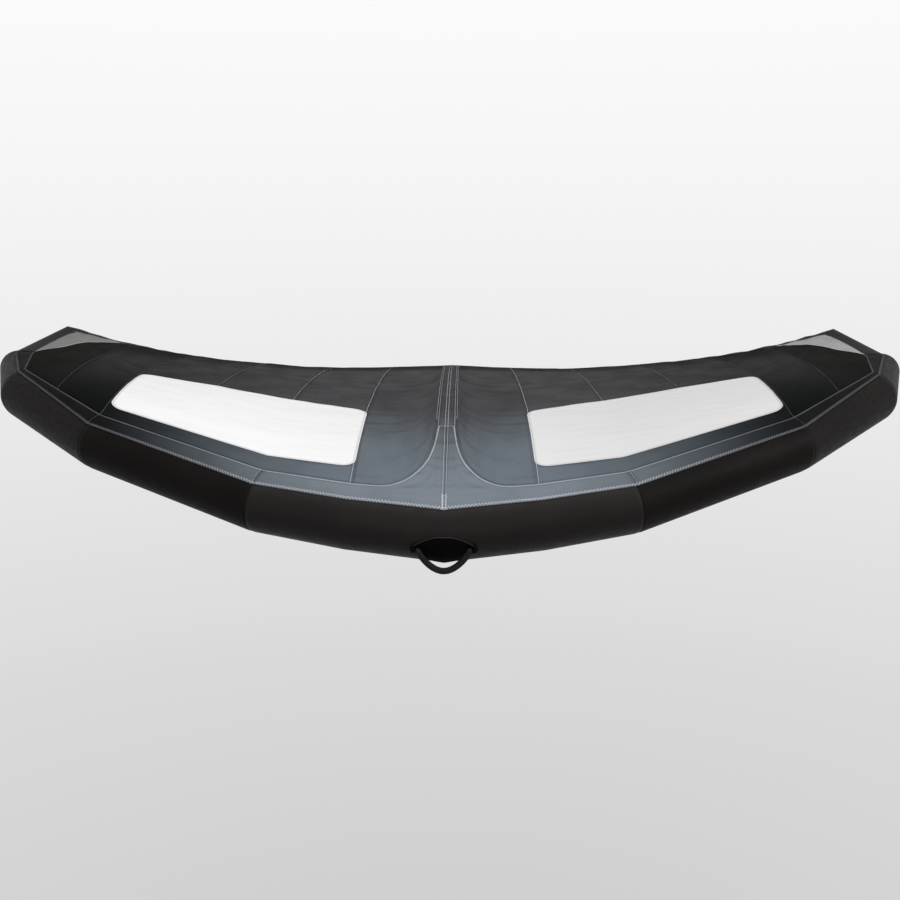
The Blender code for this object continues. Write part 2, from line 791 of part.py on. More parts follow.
def make_hems():
    """The hem along the trailing edge and round the corner to the tube's end."""
    reach = HEM_FRONT.x - PATCH_START_X
    patch_xs = [PATCH_START_X + reach * share for share in PATCH_X_SHARES]
    xs = [0] + scoop_xs() + window_columns()[1:] + steps(SEAM_4_X, SEAM_5_X, 2)[1:]
    xs += [x for x in patch_xs if x < CORNER_X]
    columns = []
    for x, inner in zip(xs, offset_line(plan_line(xs, hem_inner), GAP / 2, 0)):
        outer = trailing_point(x).xy
        columns.append([canopy_point(*inner.lerp(outer, share)) for share in steps(0, 1, 2)])
    columns[0] = [point + Vector((GAP / 2, 0, 0)) for point in columns[0]]
    corner = Vector((CORNER_X, hem_inner(CORNER_X), 0))
    for share in steps(0, 1, 2):
        inner = corner.lerp(HEM_FRONT, share)
        outer = TIP_POINT.lerp(HEM_END, share)
        out = Vector((outer.x - inner.x, outer.y - inner.y, 0)).normalized()
        inner += out * GAP
        inner = canopy_point(inner.x, inner.y)
        middle = inner.lerp(outer, 1 / 2)
        if share == 1:
            middle = LEAVE_LINE[-1]
        columns.append([inner, middle, outer])
    columns[-1] = [point + Vector((0, GAP, 0)) for point in columns[-1]]
    mirrored_cloth("edge_hem", columns, "hem_tape")


# Centre strut, hung under the canopy


def strut_radius(y):
    share = (y - STRUT_FRONT_Y) / (STRUT_BACK_Y - STRUT_FRONT_Y)
    return STRUT_RADIUS + (STRUT_END_RADIUS - STRUT_RADIUS) * share


def strut_centre(y):
    """The strut's axis, hung half a tube under the flat cloth between two rows."""
    line = [Vector((row, canopy_point(0, row).z, 0)) for row in centre_rows]
    return Vector((0, y, along_line(line, y).y - GAP - strut_radius(y)))


def strut_ring_point(y, degrees, lift):
    """Round the strut at one of its rings, degrees from the bottom towards +X."""
    turn = math.radians(degrees)
    out = Vector((math.sin(turn), 0, -math.cos(turn)))
    return strut_centre(y) + out * (strut_radius(y) + lift)


def strut_point(y, degrees, lift):
    """The same between two rings, on the flat of the casing."""
    k = 1
    while k < len(strut_ys) - 1 and y > strut_ys[k]:
        k += 1
    low, high = strut_ys[k - 1], strut_ys[k]
    first = strut_ring_point(low, degrees, lift)
    return first.lerp(strut_ring_point(high, degrees, lift), (y - low) / (high - low))


def strut_ring(y, inset, sides):
    step = FULL_TURN / sides
    return [strut_point(y, k * step, -inset) for k in range(sides)]


def make_strut():
    ys = strut_ys
    outer = [strut_ring(y, 0, STRUT_SIDES) for y in ys]
    inner = [strut_ring(y, CASING_WALL, STRUT_SIDES) for y in ys]
    mesh = skin_mesh("strut_casing", outer + inner[::-1], looped=True)
    casing = add_part("strut_casing", mesh, "dacron")
    chain = [[bend(-2)]] + [tube_ring(i, -GAP, CASING_SIDES) for i in (-2, -1, 0, 1, 2)] + [[bend(2)]]
    boolean(casing, add_cutter("tube_space", skin_mesh("tube_space", chain)))

    end_y = STRUT_BACK_Y + GAP
    along = (strut_centre(ys[-1]) - strut_centre(ys[-2])).normalized()
    shells = []
    for inset in (0, CASING_WALL):
        radius = STRUT_END_RADIUS - inset
        ring = [point + along * GAP for point in strut_ring(STRUT_BACK_Y, inset, STRUT_SIDES)]
        centre = strut_centre(STRUT_BACK_Y) + along * GAP
        rings = [ring]
        for degrees in DOME_ANGLES:
            turn = math.radians(degrees)
            out = along * radius * math.sin(turn)
            rings.append([centre + (point - centre) * math.cos(turn) + out for point in ring])
        rings.append([centre + along * radius])
        shells.append(rings)
    chain = shells[0] + shells[1][::-1]
    add_part("strut_end_cap", skin_mesh("strut_end_cap", chain, looped=True), "dacron")

    inset = CASING_WALL + GAP
    last_y = STRUT_BACK_Y - STRUT_BLADDER_INSET
    inside = [y for y in ys if STRUT_BLADDER_FRONT_Y < y < last_y - OVERRUN]
    bladder_ys = [STRUT_BLADDER_FRONT_Y] + inside + [last_y]
    chain = [strut_ring(y, inset, STRUT_BLADDER_SIDES) for y in bladder_ys]
    first_end = strut_point(bladder_ys[0], 0, 0).lerp(strut_point(bladder_ys[0], 180, 0), 1 / 2)
    last_end = strut_point(last_y, 0, 0).lerp(strut_point(last_y, 180, 0), 1 / 2)
    blunt = Vector((0, STRUT_BLADDER_INSET - OVERRUN, 0))
    chain = [[first_end - blunt]] + chain + [[last_end + blunt]]
    bladder = add_part("strut_bladder", skin_mesh("strut_bladder", chain), "bladder_film")
    solidify(bladder, BLADDER_WALL, -1)
    return casing, bladder


# Strut handles


def handle_axis(centre_y):
    """The line the handle swings about, through its two feet, as two points."""
    reach = HANDLE_SPAN / 2
    drop = Vector((0, 0, -AXIS_DROP))
    return [strut_point(centre_y + end * reach, 0, 0) + drop for end in (-1, 1)]


def make_handle(name, centre_y):
    first, last = handle_axis(centre_y)
    along = (last - first).normalized()
    middle = (first + last) / 2
    pivot = add_empty(name + "_pivot", middle, wing_frame)
    down = Vector((0, 0, -1))
    square_down = along.cross(Vector((1, 0, 0)))
    low = HANDLE_SPAN / 2
    inner_foot = low - FOOT_LENGTH
    grip_end = GRIP_LENGTH / 2
    path = []
    for end in (-1, 1):
        points = [
            along * end * (low - GAP),
            along * end * inner_foot,
            along * end * (inner_foot - BEND_LENGTH / 2) + down * BEND_LENGTH / 4,
            along * end * (grip_end + BEND_LENGTH) + down * (GRIP_DROP - BEND_LENGTH / 2),
            along * end * (grip_end + BEND_LENGTH / 2) + down * (GRIP_DROP - BEND_LENGTH / 8),
            along * end * grip_end + down * GRIP_DROP,
        ]
        path += points if end < 0 else points[::-1]
    across = Vector((WEB_WIDTH / 2, 0, 0))
    columns = [[point - across for point in path], [point + across for point in path]]
    strap = add_part(name + "_strap", sheet_mesh(name + "_strap", columns), "webbing", pivot)
    solidify(strap, WEB_THICKNESS, 0)

    half = GRIP_LENGTH / 2 - GAP
    profile = [
        (GRIP_BORE, half),
        (GRIP_RADIUS - GRIP_ROUND / 2, half),
        (GRIP_RADIUS, half - GRIP_ROUND),
        (GRIP_RADIUS, -half + GRIP_ROUND),
        (GRIP_RADIUS - GRIP_ROUND / 2, -half),
        (GRIP_BORE, -half),
    ]
    matrix = at_frame(down * GRIP_DROP, along, Vector((1, 0, 0)))
    turned(name + "_grip", profile, GRIP_SIDES, "foam", pivot, matrix)

    start = centre_y - HANDLE_SPAN / 2 - SADDLE_MARGIN
    end = centre_y + HANDLE_SPAN / 2 + SADDLE_MARGIN
    ys = [start] + [y for y in strut_ys if start < y < end] + [end]
    turns = steps(SADDLE_ANGLE, -SADDLE_ANGLE, 6)
    columns = [[strut_point(y, degrees, GAP) for y in ys] for degrees in turns]
    saddle = add_part(name + "_patch", sheet_mesh(name + "_patch", columns), "webbing")
    solidify(saddle, SADDLE_WALL, 1)
    for word, foot, sign in (("fore", first, -1), ("aft", last, 1)):
        chain = []
        for reach in (GAP / 2, GAP / 2 + LUG_LENGTH):
            place = foot + along * sign * reach
            height = strut_point(place.y, 0, GAP + SADDLE_WALL / 2).z - place.z
            top = place - square_down * height
            bottom = place + square_down * LUG_BELOW_AXIS
            chain.append([top - across, top + across, bottom + across, bottom - across])
        chain = [[sum(chain[0], Vector()) / 4]] + chain + [[sum(chain[1], Vector()) / 4]]
        lug = add_cutter(name + "_lug_" + word, skin_mesh("lug", chain))
        boolean(saddle, lug, "UNION")


# Handle under the leading edge


def make_le_handle():
    """A padded bail that hangs from two ears on an eye-shaped pad."""
    surface = tube_point(0, BAIL_ANGLE, tube_radius(0))
    out = surface.normalized()
    stand_off = PAD_WALL + 2 * GAP + BAIL_RADIUS - BAIL_SINK
    axis_place = surface + out * stand_off
    pivot = add_empty("le_handle_pivot", axis_place, wing_frame)
    spline_points = []
    for share in steps(-1, 1, BAIL_POINTS - 1):
        drop = BAIL_DROP * math.cos(share * math.pi / 2)
        spline_points.append(Vector((BAIL_HALF_SPAN * share, 0, -drop)))
    data = bpy.data.curves.new("le_handle", "CURVE")
    data.dimensions = "3D"
    data.bevel_depth = BAIL_RADIUS
    data.bevel_resolution = 3
    data.use_fill_caps = True
    spline = data.splines.new("POLY")
    ends = [Vector((sign * (BAIL_HALF_SPAN + EAR_LENGTH), 0, 0)) for sign in (-1, 1)]
    run = [ends[0]] + spline_points + [ends[1]]
    spline.points.add(len(run) - 1)
    for point, place in zip(spline.points, run):
        point.co = (*place, 1)
    add_part("le_handle", data, "foam", pivot)

    columns = []
    for share in steps(-1, 1, PAD_COLUMNS):
        swell = max(1 - share**2, PAD_END_SHARE)
        top = PAD_MIDDLE_ANGLE - PAD_UP_ANGLE * swell
        bottom = PAD_MIDDLE_ANGLE + PAD_DOWN_ANGLE * swell
        x = PAD_HALF_WIDTH * share
        column = []
        for degrees in steps(top, bottom, 6):
            point = tube_at_x(abs(x), degrees, CLOTH_LIFT)
            column.append(Vector((math.copysign(point.x, x), point.y, point.z)))
        columns.append(column)
    pad = add_part("le_handle_patch", sheet_mesh("le_handle_patch", columns), "pad")
    solidify(pad, PAD_WALL, -1)
    for sign, word in SIDE_NAMES.items():
        x = sign * (BAIL_HALF_SPAN + EAR_LENGTH + GAP + EAR_LENGTH / 2)
        base = tube_at_x(abs(x), BAIL_ANGLE, CLOTH_LIFT + PAD_WALL / 2)
        height = (axis_place - base).dot(out) + BAIL_RADIUS
        centre = Vector((x, base.y, base.z)) + out * height / 2
        matrix = at_frame(centre, out, Vector((1, 0, 0)))
        ear = add_cutter("ear_" + word, box_mesh("ear", (EAR_LENGTH, 2 * BAIL_RADIUS, height), matrix))
        boolean(pad, ear, "UNION")


# Inflation valve


def make_valve(casing, bladder):
    surface = tube_at_x(VALVE_X, VALVE_ANGLE, 0)
    axis_point = bend(0).lerp(bend(1), VALVE_X / bend(1).x)
    outward = surface - axis_point
    matrix = at_frame(surface, outward, Vector((1, 0, 0)))
    depth = VALVE_RADIUS * 2
    for shell in (casing, bladder):
        bore_through(shell, surface, outward, VALVE_RADIUS + GAP, depth)

    web_top = VALVE_OUTSIDE - WEB_DEPTH
    web_low = web_top - SPIDER_THICKNESS
    guide = STEM_RADIUS + STEM_CLEARANCE
    profile = [
        (VALVE_BORE, VALVE_OUTSIDE),
        (VALVE_RADIUS, VALVE_OUTSIDE),
        (VALVE_RADIUS, COLLAR_BASE + COLLAR_THICKNESS),
        (COLLAR_RADIUS, COLLAR_BASE + COLLAR_THICKNESS),
        (COLLAR_RADIUS, COLLAR_BASE),
        (VALVE_RADIUS, COLLAR_BASE),
        (VALVE_RADIUS, -VALVE_INSIDE),
        (VALVE_BORE, -VALVE_INSIDE),
        (VALVE_BORE, web_low),
        (guide, web_low),
        (guide, web_top),
        (VALVE_BORE, web_top),
    ]
    body = turned("valve_body", profile, TURN_SIDES, "valve_plastic", wing_frame, matrix)
    ring_radius = (guide + VALVE_BORE) / 2
    for k in range(AIR_HOLE_COUNT):
        turn = 2 * math.pi * k / AIR_HOLE_COUNT
        place = Vector((math.cos(turn) * ring_radius, math.sin(turn) * ring_radius, web_low))
        hole = rod_mesh("air_hole", AIR_HOLE_RADIUS, 2 * WEB_DEPTH, 12, Matrix.Translation(place))
        cutter = add_cutter("air_hole_" + str(k), hole)
        cutter.matrix_local = matrix
        boolean(body, cutter)

    pivot_height = VALVE_OUTSIDE + GAP + CAP_THICKNESS / 2
    ear_height = pivot_height + KNUCKLE_RADIUS - COLLAR_BASE - COLLAR_THICKNESS / 2
    ear_offset = KNUCKLE_LENGTH / 2 + GAP + HINGE_EAR / 2
    for sign, word in SIDE_NAMES.items():
        z = COLLAR_BASE + COLLAR_THICKNESS / 2 + ear_height / 2
        place = Matrix.Translation((HINGE_REACH, sign * ear_offset, z))
        ear = box_mesh("hinge_ear", (2 * KNUCKLE_RADIUS, HINGE_EAR, ear_height), place)
        cutter = add_cutter("hinge_ear_" + word, ear)
        cutter.matrix_local = matrix
        boolean(body, cutter, "UNION")

    stem_top = web_top + STEM_PROUD
    seal_top = web_low - GAP
    profile = [
        (0, stem_top),
        (BUTTON_RADIUS, stem_top),
        (BUTTON_RADIUS, stem_top - BUTTON_THICKNESS),
        (STEM_RADIUS, stem_top - BUTTON_THICKNESS),
        (STEM_RADIUS, seal_top),
        (SEAL_RADIUS, seal_top),
        (SEAL_RADIUS, seal_top - SEAL_THICKNESS),
        (0, seal_top - SEAL_THICKNESS),
    ]
    turned("valve_plunger", profile, TURN_SIDES, "seal_rubber", wing_frame, matrix)

    plug = VALVE_BORE - PLUG_CLEARANCE
    pivot_place = matrix @ Vector((HINGE_REACH, 0, pivot_height))
    pivot = add_empty("valve_cap_pivot", pivot_place, wing_frame)
    turn_only = matrix.to_3x3().to_4x4()
    cap_matrix = turn_only @ Matrix.Translation((-HINGE_REACH, 0, -CAP_THICKNESS / 2))
    profile = [
        (0, CAP_THICKNESS),
        (CAP_RADIUS, CAP_THICKNESS),
        (CAP_RADIUS, 0),
        (plug, 0),
        (plug, -PLUG_DEPTH),
        (plug - PLUG_WALL, -PLUG_DEPTH),
        (plug - PLUG_WALL, 0),
        (0, 0),
    ]
    cap = turned("valve_cap", profile, TURN_SIDES, "valve_plastic", pivot, cap_matrix)
    knuckle_turn = Matrix.Rotation(math.pi / 2, 4, "X")
    knuckle = rod_mesh("knuckle", KNUCKLE_RADIUS, KNUCKLE_LENGTH, 12, knuckle_turn)
    cutter = add_cutter("cap_knuckle", knuckle, pivot)
    cutter.matrix_local = turn_only
    boolean(cap, cutter, "UNION")
    tab_length = HINGE_REACH - CAP_RADIUS + OVERRUN
    tab_place = Matrix.Translation((-tab_length / 2, 0, 0))
    tab = box_mesh("tab", (tab_length, KNUCKLE_LENGTH, CAP_THICKNESS - 2 * GAP), tab_place)
    cutter = add_cutter("cap_tab", tab, pivot)
    cutter.matrix_local = turn_only
    boolean(cap, cutter, "UNION")


# Air hose between the tube and the strut


def port_profile():
    return [
        (PORT_BORE, PORT_OUTSIDE),
        (PORT_RADIUS, PORT_OUTSIDE),
        (PORT_RADIUS, PORT_FLANGE_BASE + PORT_FLANGE_THICKNESS),
        (PORT_FLANGE, PORT_FLANGE_BASE + PORT_FLANGE_THICKNESS),
        (PORT_FLANGE, PORT_FLANGE_BASE),
        (PORT_RADIUS, PORT_FLANGE_BASE),
        (PORT_RADIUS, -PORT_INSIDE),
        (PORT_BORE, -PORT_INSIDE),
    ]


def make_port(name, place, outward, shells):
    matrix = at_frame(place, outward, Vector((0, 0, 1)))
    turned(name, port_profile(), TURN_SIDES, "valve_plastic", wing_frame, matrix)
    for shell in shells:
        bore_through(shell, place, outward, PORT_RADIUS + GAP, PORT_INSIDE * 2)


def make_hose(casing, bladder, strut_casing, strut_bladder):
    le_place = tube_at_x(PORT_X, PORT_ANGLE, 0)
    le_out = (le_place - bend(0).lerp(bend(1), PORT_X / bend(1).x)).normalized()
    strut_place = strut_point(PORT_Y, -PORT_SIDE_ANGLE, 0)
    strut_out = (strut_place - strut_centre(PORT_Y)).normalized()
    make_port("hose_port_le", le_place, le_out, (casing, bladder))
    make_port("hose_port_strut", strut_place, strut_out, (strut_casing, strut_bladder))

    lowest = PORT_FLANGE_BASE + PORT_FLANGE_THICKNESS + GAP
    start = le_place + le_out * lowest
    end = strut_place + strut_out * lowest
    pull = (end - start).length * HOSE_BULGE_SHARE
    data = bpy.data.curves.new("air_hose", "CURVE")
    data.dimensions = "3D"
    data.bevel_depth = HOSE_RADIUS
    data.bevel_resolution = 2
    spline = data.splines.new("POLY")
    run = []
    straight = PORT_OUTSIDE
    run.append(start)
    start_curve = start + le_out * straight
    end_curve = end + strut_out * straight
    for share in steps(0, 1, HOSE_POINTS - 1):
        keep, gain = 1 - share, share
        run.append(
            start_curve * (keep**3)
            + (start_curve + le_out * pull) * (3 * keep**2 * gain)
            + (end_curve + strut_out * pull) * (3 * keep * gain**2)
            + end_curve * (gain**3)
        )
    run.append(end)
    spline.points.add(len(run) - 1)
    for point, place in zip(spline.points, run):
        point.co = (*place, 1)
    hose = add_part("air_hose", data, "hose_silicone")
    solidify(hose, HOSE_WALL, -1)

    middle = len(run) // 2
    along = (run[middle + 1] - run[middle - 1]).normalized()
    outward = (run[middle] - (start + end) / 2).normalized()
    matrix = at_frame(run[middle], along, outward)
    size = (CLAMP_HEIGHT, CLAMP_WIDTH, CLAMP_LENGTH)
    clamp = add_part("hose_clamp", box_mesh("hose_clamp", size), "clamp_plastic")
    clamp.matrix_local = matrix
    hole = rod_mesh("hose_space", HOSE_RADIUS + 2 * GAP, 2 * CLAMP_LENGTH, TURN_SIDES)
    cutter = add_cutter("hose_space", hole)
    cutter.matrix_local = matrix
    boolean(clamp, cutter)


# Zip and leash loop


def make_zip():
    """A straight strip of teeth and tape on the left, and the slider that runs along it."""
    half_turn = math.degrees(ZIP_HALF_WIDTH / CENTRE_RADIUS)
    columns = []
    for x in steps(ZIP_END_X, ZIP_START_X, 2):
        column = []
        for degrees in steps(ZIP_ANGLE - half_turn, ZIP_ANGLE + half_turn, 2):
            point = tube_at_x(x, degrees, CLOTH_LIFT)
            column.append(Vector((-point.x, point.y, point.z)))
        columns.append(column)
    tape = add_part("le_zip", sheet_mesh("le_zip", columns), "webbing")
    solidify(tape, ZIP_WALL, -1)

    lift = CLOTH_LIFT + ZIP_WALL + GAP + SLIDER_HEIGHT / 2
    low = tube_at_x(SLIDER_AT_X, ZIP_ANGLE, lift)
    high = tube_at_x(ZIP_END_X, ZIP_ANGLE, lift)
    low.x, high.x = -low.x, -high.x
    axis_point = bend(0).lerp(bend(-1), SLIDER_AT_X / bend(1).x)
    matrix = at_frame(low, low - axis_point, high - low)
    size = (SLIDER_LENGTH, SLIDER_WIDTH, SLIDER_HEIGHT)
    slider = add_part("zip_slider", box_mesh("zip_slider", size), "slider_metal")
    slider.matrix_local = matrix
    bevel = slider.modifiers.new("round", "BEVEL")
    bevel.width = SLIDER_HEIGHT / 5
    bevel.segments = 1


def make_leash_loop():
    """A webbing loop on the tube's underside, with one foot in front of it and one behind."""
    foot_spots = (LEASH_HALF_TURN + LEASH_FOOT_TURN, LEASH_HALF_TURN + LEASH_FOOT_TURN / 2)
    path = [(-turn, 0) for turn in foot_spots]
    for share in steps(-1, 1, LEASH_CURVE_POINTS - 1):
        path.append((LEASH_HALF_TURN * share, LEASH_DROP * math.cos(share * math.pi / 2)))
    path += [(turn, 0) for turn in foot_spots[::-1]]
    across = Vector((WEB_WIDTH / 2, 0, 0))
    rows = []
    for turn, drop in path:
        lift = GAP + WEB_THICKNESS / 2 + drop
        rows.append(tube_point(0, LEASH_ANGLE + turn, tube_radius(0) + lift))
    columns = [[place - across for place in rows], [place + across for place in rows]]
    loop = add_part("leash_loop", sheet_mesh("leash_loop", columns), "webbing")
    solidify(loop, WEB_THICKNESS, 0)


clear_scene()
parts = new_collection("wingfoil_wing")
cutters = new_collection("cutters")
wing_frame = add_empty("wing_frame", (0, 0, 0))

le_centre, le_bladder = make_leading_edge()
scoop_ys = make_scoop()
band_ys = make_middle_panels()
make_strip("le_strip_mid", 2, "ripstop_dark")
make_strip("le_strip_outer", 3, "ripstop_dark")
make_strip("le_strip_tip", 4, "ripstop_dark")
make_windows_and_frames()
make_outer_panels()
make_hems()

centre_rows = scoop_ys + band_ys
inner_ys = [y for y in centre_rows if STRUT_FRONT_Y < y < STRUT_BACK_Y - OVERRUN]
strut_ys = [STRUT_FRONT_Y] + inner_ys + [STRUT_BACK_Y]

strut_casing, strut_bladder = make_strut()
make_handle("front_handle", FRONT_HANDLE_Y)
make_handle("rear_handle", REAR_HANDLE_Y)
make_le_handle()
make_valve(le_centre, le_bladder)
make_hose(le_centre, le_bladder, strut_casing, strut_bladder)
make_zip()
make_leash_loop()

carry_point = strut_point(FRONT_HANDLE_Y, 0, GAP + SADDLE_WALL)
wing_frame.location = -carry_point
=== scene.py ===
# %% [markdown]
# # A wingfoil wing, dressed for its portrait
# The wing is a hand-held inflatable sail. A fat swept tube makes its front, a thinner tube runs back
# under the middle, and thin sailcloth is stretched behind the front tube. The solid model is loaded
# first, as a frame that never moves. Everything that is cloth gets a finer piece here, and every
# small hard part gets its real finish.

# %% Load the frame
import json
import math

import bpy
import numpy as np
from mathutils import Matrix, Vector, noise


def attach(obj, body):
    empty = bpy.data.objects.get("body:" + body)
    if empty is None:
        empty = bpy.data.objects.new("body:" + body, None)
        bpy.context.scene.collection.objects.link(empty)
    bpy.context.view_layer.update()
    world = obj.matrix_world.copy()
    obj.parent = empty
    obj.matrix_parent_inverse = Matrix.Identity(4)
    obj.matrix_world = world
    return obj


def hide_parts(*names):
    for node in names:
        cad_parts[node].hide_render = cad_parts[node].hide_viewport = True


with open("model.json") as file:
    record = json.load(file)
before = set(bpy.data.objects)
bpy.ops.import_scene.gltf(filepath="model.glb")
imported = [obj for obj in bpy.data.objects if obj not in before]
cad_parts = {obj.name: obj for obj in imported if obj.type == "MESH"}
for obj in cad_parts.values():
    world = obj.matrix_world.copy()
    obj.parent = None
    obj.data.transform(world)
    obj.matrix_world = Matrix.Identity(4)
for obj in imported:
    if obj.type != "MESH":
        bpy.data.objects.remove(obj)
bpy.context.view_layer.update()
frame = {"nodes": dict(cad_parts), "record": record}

nodes = frame["nodes"]

# %% [markdown]
# ## The camera
# The photograph looks at the front tube from a little above, almost on the middle line. A fairly
# long lens keeps the two tips the same size. The numbers come from matching the tube's bends and
# the seams to where they stand in the picture.

# %% Camera
CAMERA_PLACE = (0.0459, -3.5415, 0.9183)
LENS, SENSOR = 46, 36
LOOK_DOWN, ROLL, TURN = 14.189, -0.110, 0.600
camera = bpy.data.objects.new("camera", bpy.data.cameras.new("camera"))
bpy.context.collection.objects.link(camera)
camera.data.lens = LENS
camera.data.sensor_width = SENSOR
camera.location = CAMERA_PLACE
camera.rotation_euler = [math.radians(angle) for angle in (90 - LOOK_DOWN, ROLL, TURN)]
bpy.context.scene.camera = camera
print("camera at", tuple(round(x, 3) for x in camera.location))

# %% [markdown]
# ## Light and backdrop
# A cut-out photograph has no floor of its own, only a pale sweep that darkens downwards. A wide
# round sweep does the same from every side: a flat floor well below the wing that turns up into a
# wall. It starts as a flat disc, and its rim is extruded outwards and upwards in a few steps. The
# camera sees a soft grey ramp on it, and the light that it bounces is plain.

# %% Helper: deselect everything before each new primitive
def deselect():
    if bpy.context.object and bpy.context.object.mode == "EDIT":
        bpy.ops.object.mode_set(mode="OBJECT")
    bpy.ops.object.select_all(action="DESELECT")


# %% The sweep: floor and wall in one
FLOOR_Z, FLOOR_RADIUS, CURVE_RADIUS, WALL_HEIGHT = -3.3, 6.0, 3.0, 8.0
CURVE_STEP = 10
deselect()
bpy.ops.mesh.primitive_circle_add(
    vertices=96, radius=FLOOR_RADIUS, fill_type="NGON", location=(0, 0, FLOOR_Z)
)
sweep = bpy.context.object
sweep.name = "sweep"
bpy.ops.object.mode_set(mode="EDIT")
bpy.ops.mesh.inset(thickness=1.5)
bpy.ops.mesh.select_all(action="INVERT")
bpy.ops.object.mode_set(mode="OBJECT")
spots = sweep.data.vertices
on_rim = {spot.index for spot in spots if spot.co.length > FLOOR_RADIUS - 0.01}
rim = [edge for edge in sweep.data.edges if on_rim.issuperset(edge.vertices)]
for group in (sweep.data.vertices, sweep.data.edges, sweep.data.polygons):
    for item in group:
        item.select = False
for edge in rim:
    edge.select = True
bpy.ops.object.mode_set(mode="EDIT")
bpy.ops.mesh.select_mode(type="EDGE")
for degrees in range(CURVE_STEP, 91, CURVE_STEP):
    before, turn = math.radians(degrees - CURVE_STEP), math.radians(degrees)
    climb = CURVE_RADIUS * (math.cos(before) - math.cos(turn))
    bpy.ops.mesh.extrude_edges_move(TRANSFORM_OT_translate={"value": (0, 0, climb)})
    reach = FLOOR_RADIUS + CURVE_RADIUS * math.sin(turn)
    grow = reach / (FLOOR_RADIUS + CURVE_RADIUS * math.sin(before))
    bpy.ops.transform.resize(value=(grow, grow, 1), center_override=(0, 0, FLOOR_Z))
bpy.ops.mesh.extrude_edges_move(TRANSFORM_OT_translate={"value": (0, 0, WALL_HEIGHT)})
bpy.ops.mesh.select_all(action="SELECT")
bpy.ops.mesh.normals_make_consistent(inside=True)
bpy.ops.object.mode_set(mode="OBJECT")
bpy.ops.object.shade_smooth()
print("sweep", len(sweep.data.polygons), "faces")


# %% [markdown]
# ## Short words for shader work
# A finish is a small sum written with nodes. These helpers keep the sums readable: `calc` adds one
# arithmetic node, `mix` blends two colours, and `Finish` starts a material and keeps its main shader
# at hand.

# %% Node helpers
class Finish:
    """A material being written: its node tree, its shader, and short words for the nodes."""

    def __init__(self, name, colour, roughness, **sockets):
        self.material = bpy.data.materials.new(name)
        self.material.use_nodes = True
        self.tree = self.material.node_tree
        self.shader = self.tree.nodes["Principled BSDF"]
        self.set("Base Color", (*colour, 1))
        self.set("Roughness", roughness)
        for socket, value in sockets.items():
            self.set(socket.replace("_", " "), value)

    def set(self, socket, value):
        """A plain value goes on the socket itself, and a node's output is wired to it."""
        if isinstance(value, bpy.types.NodeSocket):
            self.tree.links.new(value, self.shader.inputs[socket])
        else:
            self.shader.inputs[socket].default_value = value

    def node(self, kind, inputs=(), **settings):
        made = self.tree.nodes.new("ShaderNode" + kind)
        for key, value in settings.items():
            setattr(made, key, value)
        for socket, value in dict(inputs).items():
            if isinstance(value, bpy.types.NodeSocket):
                self.tree.links.new(value, made.inputs[socket])
            else:
                made.inputs[socket].default_value = value
        return made

    def calc(self, operation, first, second=0.0, third=0.0):
        inputs = {0: first, 1: second, 2: third}
        return self.node("Math", inputs, operation=operation).outputs[0]

    def ramp(self, value, low, high, to_low=0.0, to_high=1.0):
        """value from low to high, smoothly turned into to_low to to_high."""
        inputs = {0: value, 1: low, 2: high, 3: to_low, 4: to_high}
        return self.node("MapRange", inputs, interpolation_type="SMOOTHSTEP").outputs[0]

    def mix(self, share, first, second):
        made = self.node("Mix", data_type="RGBA")
        for place, value in ((0, share), (6, first), (7, second)):
            if isinstance(value, bpy.types.NodeSocket):
                self.tree.links.new(value, made.inputs[place])
            else:
                made.inputs[place].default_value = value if place == 0 else (*value, 1)
        return made.outputs[2]

    def noise(self, vector, scale, detail=2.0, roughness=0.5):
        inputs = {"Vector": vector, "Scale": scale, "Detail": detail, "Roughness": roughness}
        return self.node("TexNoise", inputs).outputs["Fac"]

    def mapping(self, vector, scale, turn=0.0):
        inputs = {"Vector": vector, "Scale": scale, "Rotation": (0, 0, turn)}
        return self.node("Mapping", inputs).outputs[0]

    def bump(self, height, distance, strength=1.0):
        inputs = {"Height": height, "Distance": distance, "Strength": strength}
        self.set("Normal", self.node("Bump", inputs).outputs[0])

    def place(self):
        return self.node("TexCoord").outputs["Object"]

    def cloth(self):
        """Metres across and along the cloth, from the piece's own map."""
        return self.node("UVMap", uv_map="cloth").outputs[0]


print("node helpers ready")

# %% World, key and fill
world = bpy.data.worlds.new("studio")
bpy.context.scene.world = world
world.use_nodes = True
world.node_tree.nodes["Background"].inputs["Color"].default_value = (1, 1, 1, 1)
world.node_tree.nodes["Background"].inputs["Strength"].default_value = 0.45


def softbox(name, place, aim, size, power):
    """A square area lamp that looks at a point."""
    data = bpy.data.lights.new(name, "AREA")
    data.shape = "RECTANGLE"
    data.size, data.size_y = size
    data.energy = power
    made = bpy.data.objects.new(name, data)
    bpy.context.collection.objects.link(made)
    made.location = place
    made.rotation_euler = (Vector(aim) - Vector(place)).to_track_quat("-Z", "Y").to_euler()
    return made


softbox("key_above", (0, -1.6, 3.6), (0, 0.1, 0), (4.5, 2.2), 110)
softbox("back_above", (0, 3.4, 3.2), (0, 0.6, 0), (5.0, 1.6), 14)
softbox("fill_front", (0, -5.2, 0.6), (0, 0, -0.1), (4.0, 2.0), 25)
softbox("side_right", (3.6, -1.6, 1.5), (1.25, -0.2, 0.1), (0.9, 0.9), 45)
bpy.context.scene.view_settings.view_transform = "Standard"

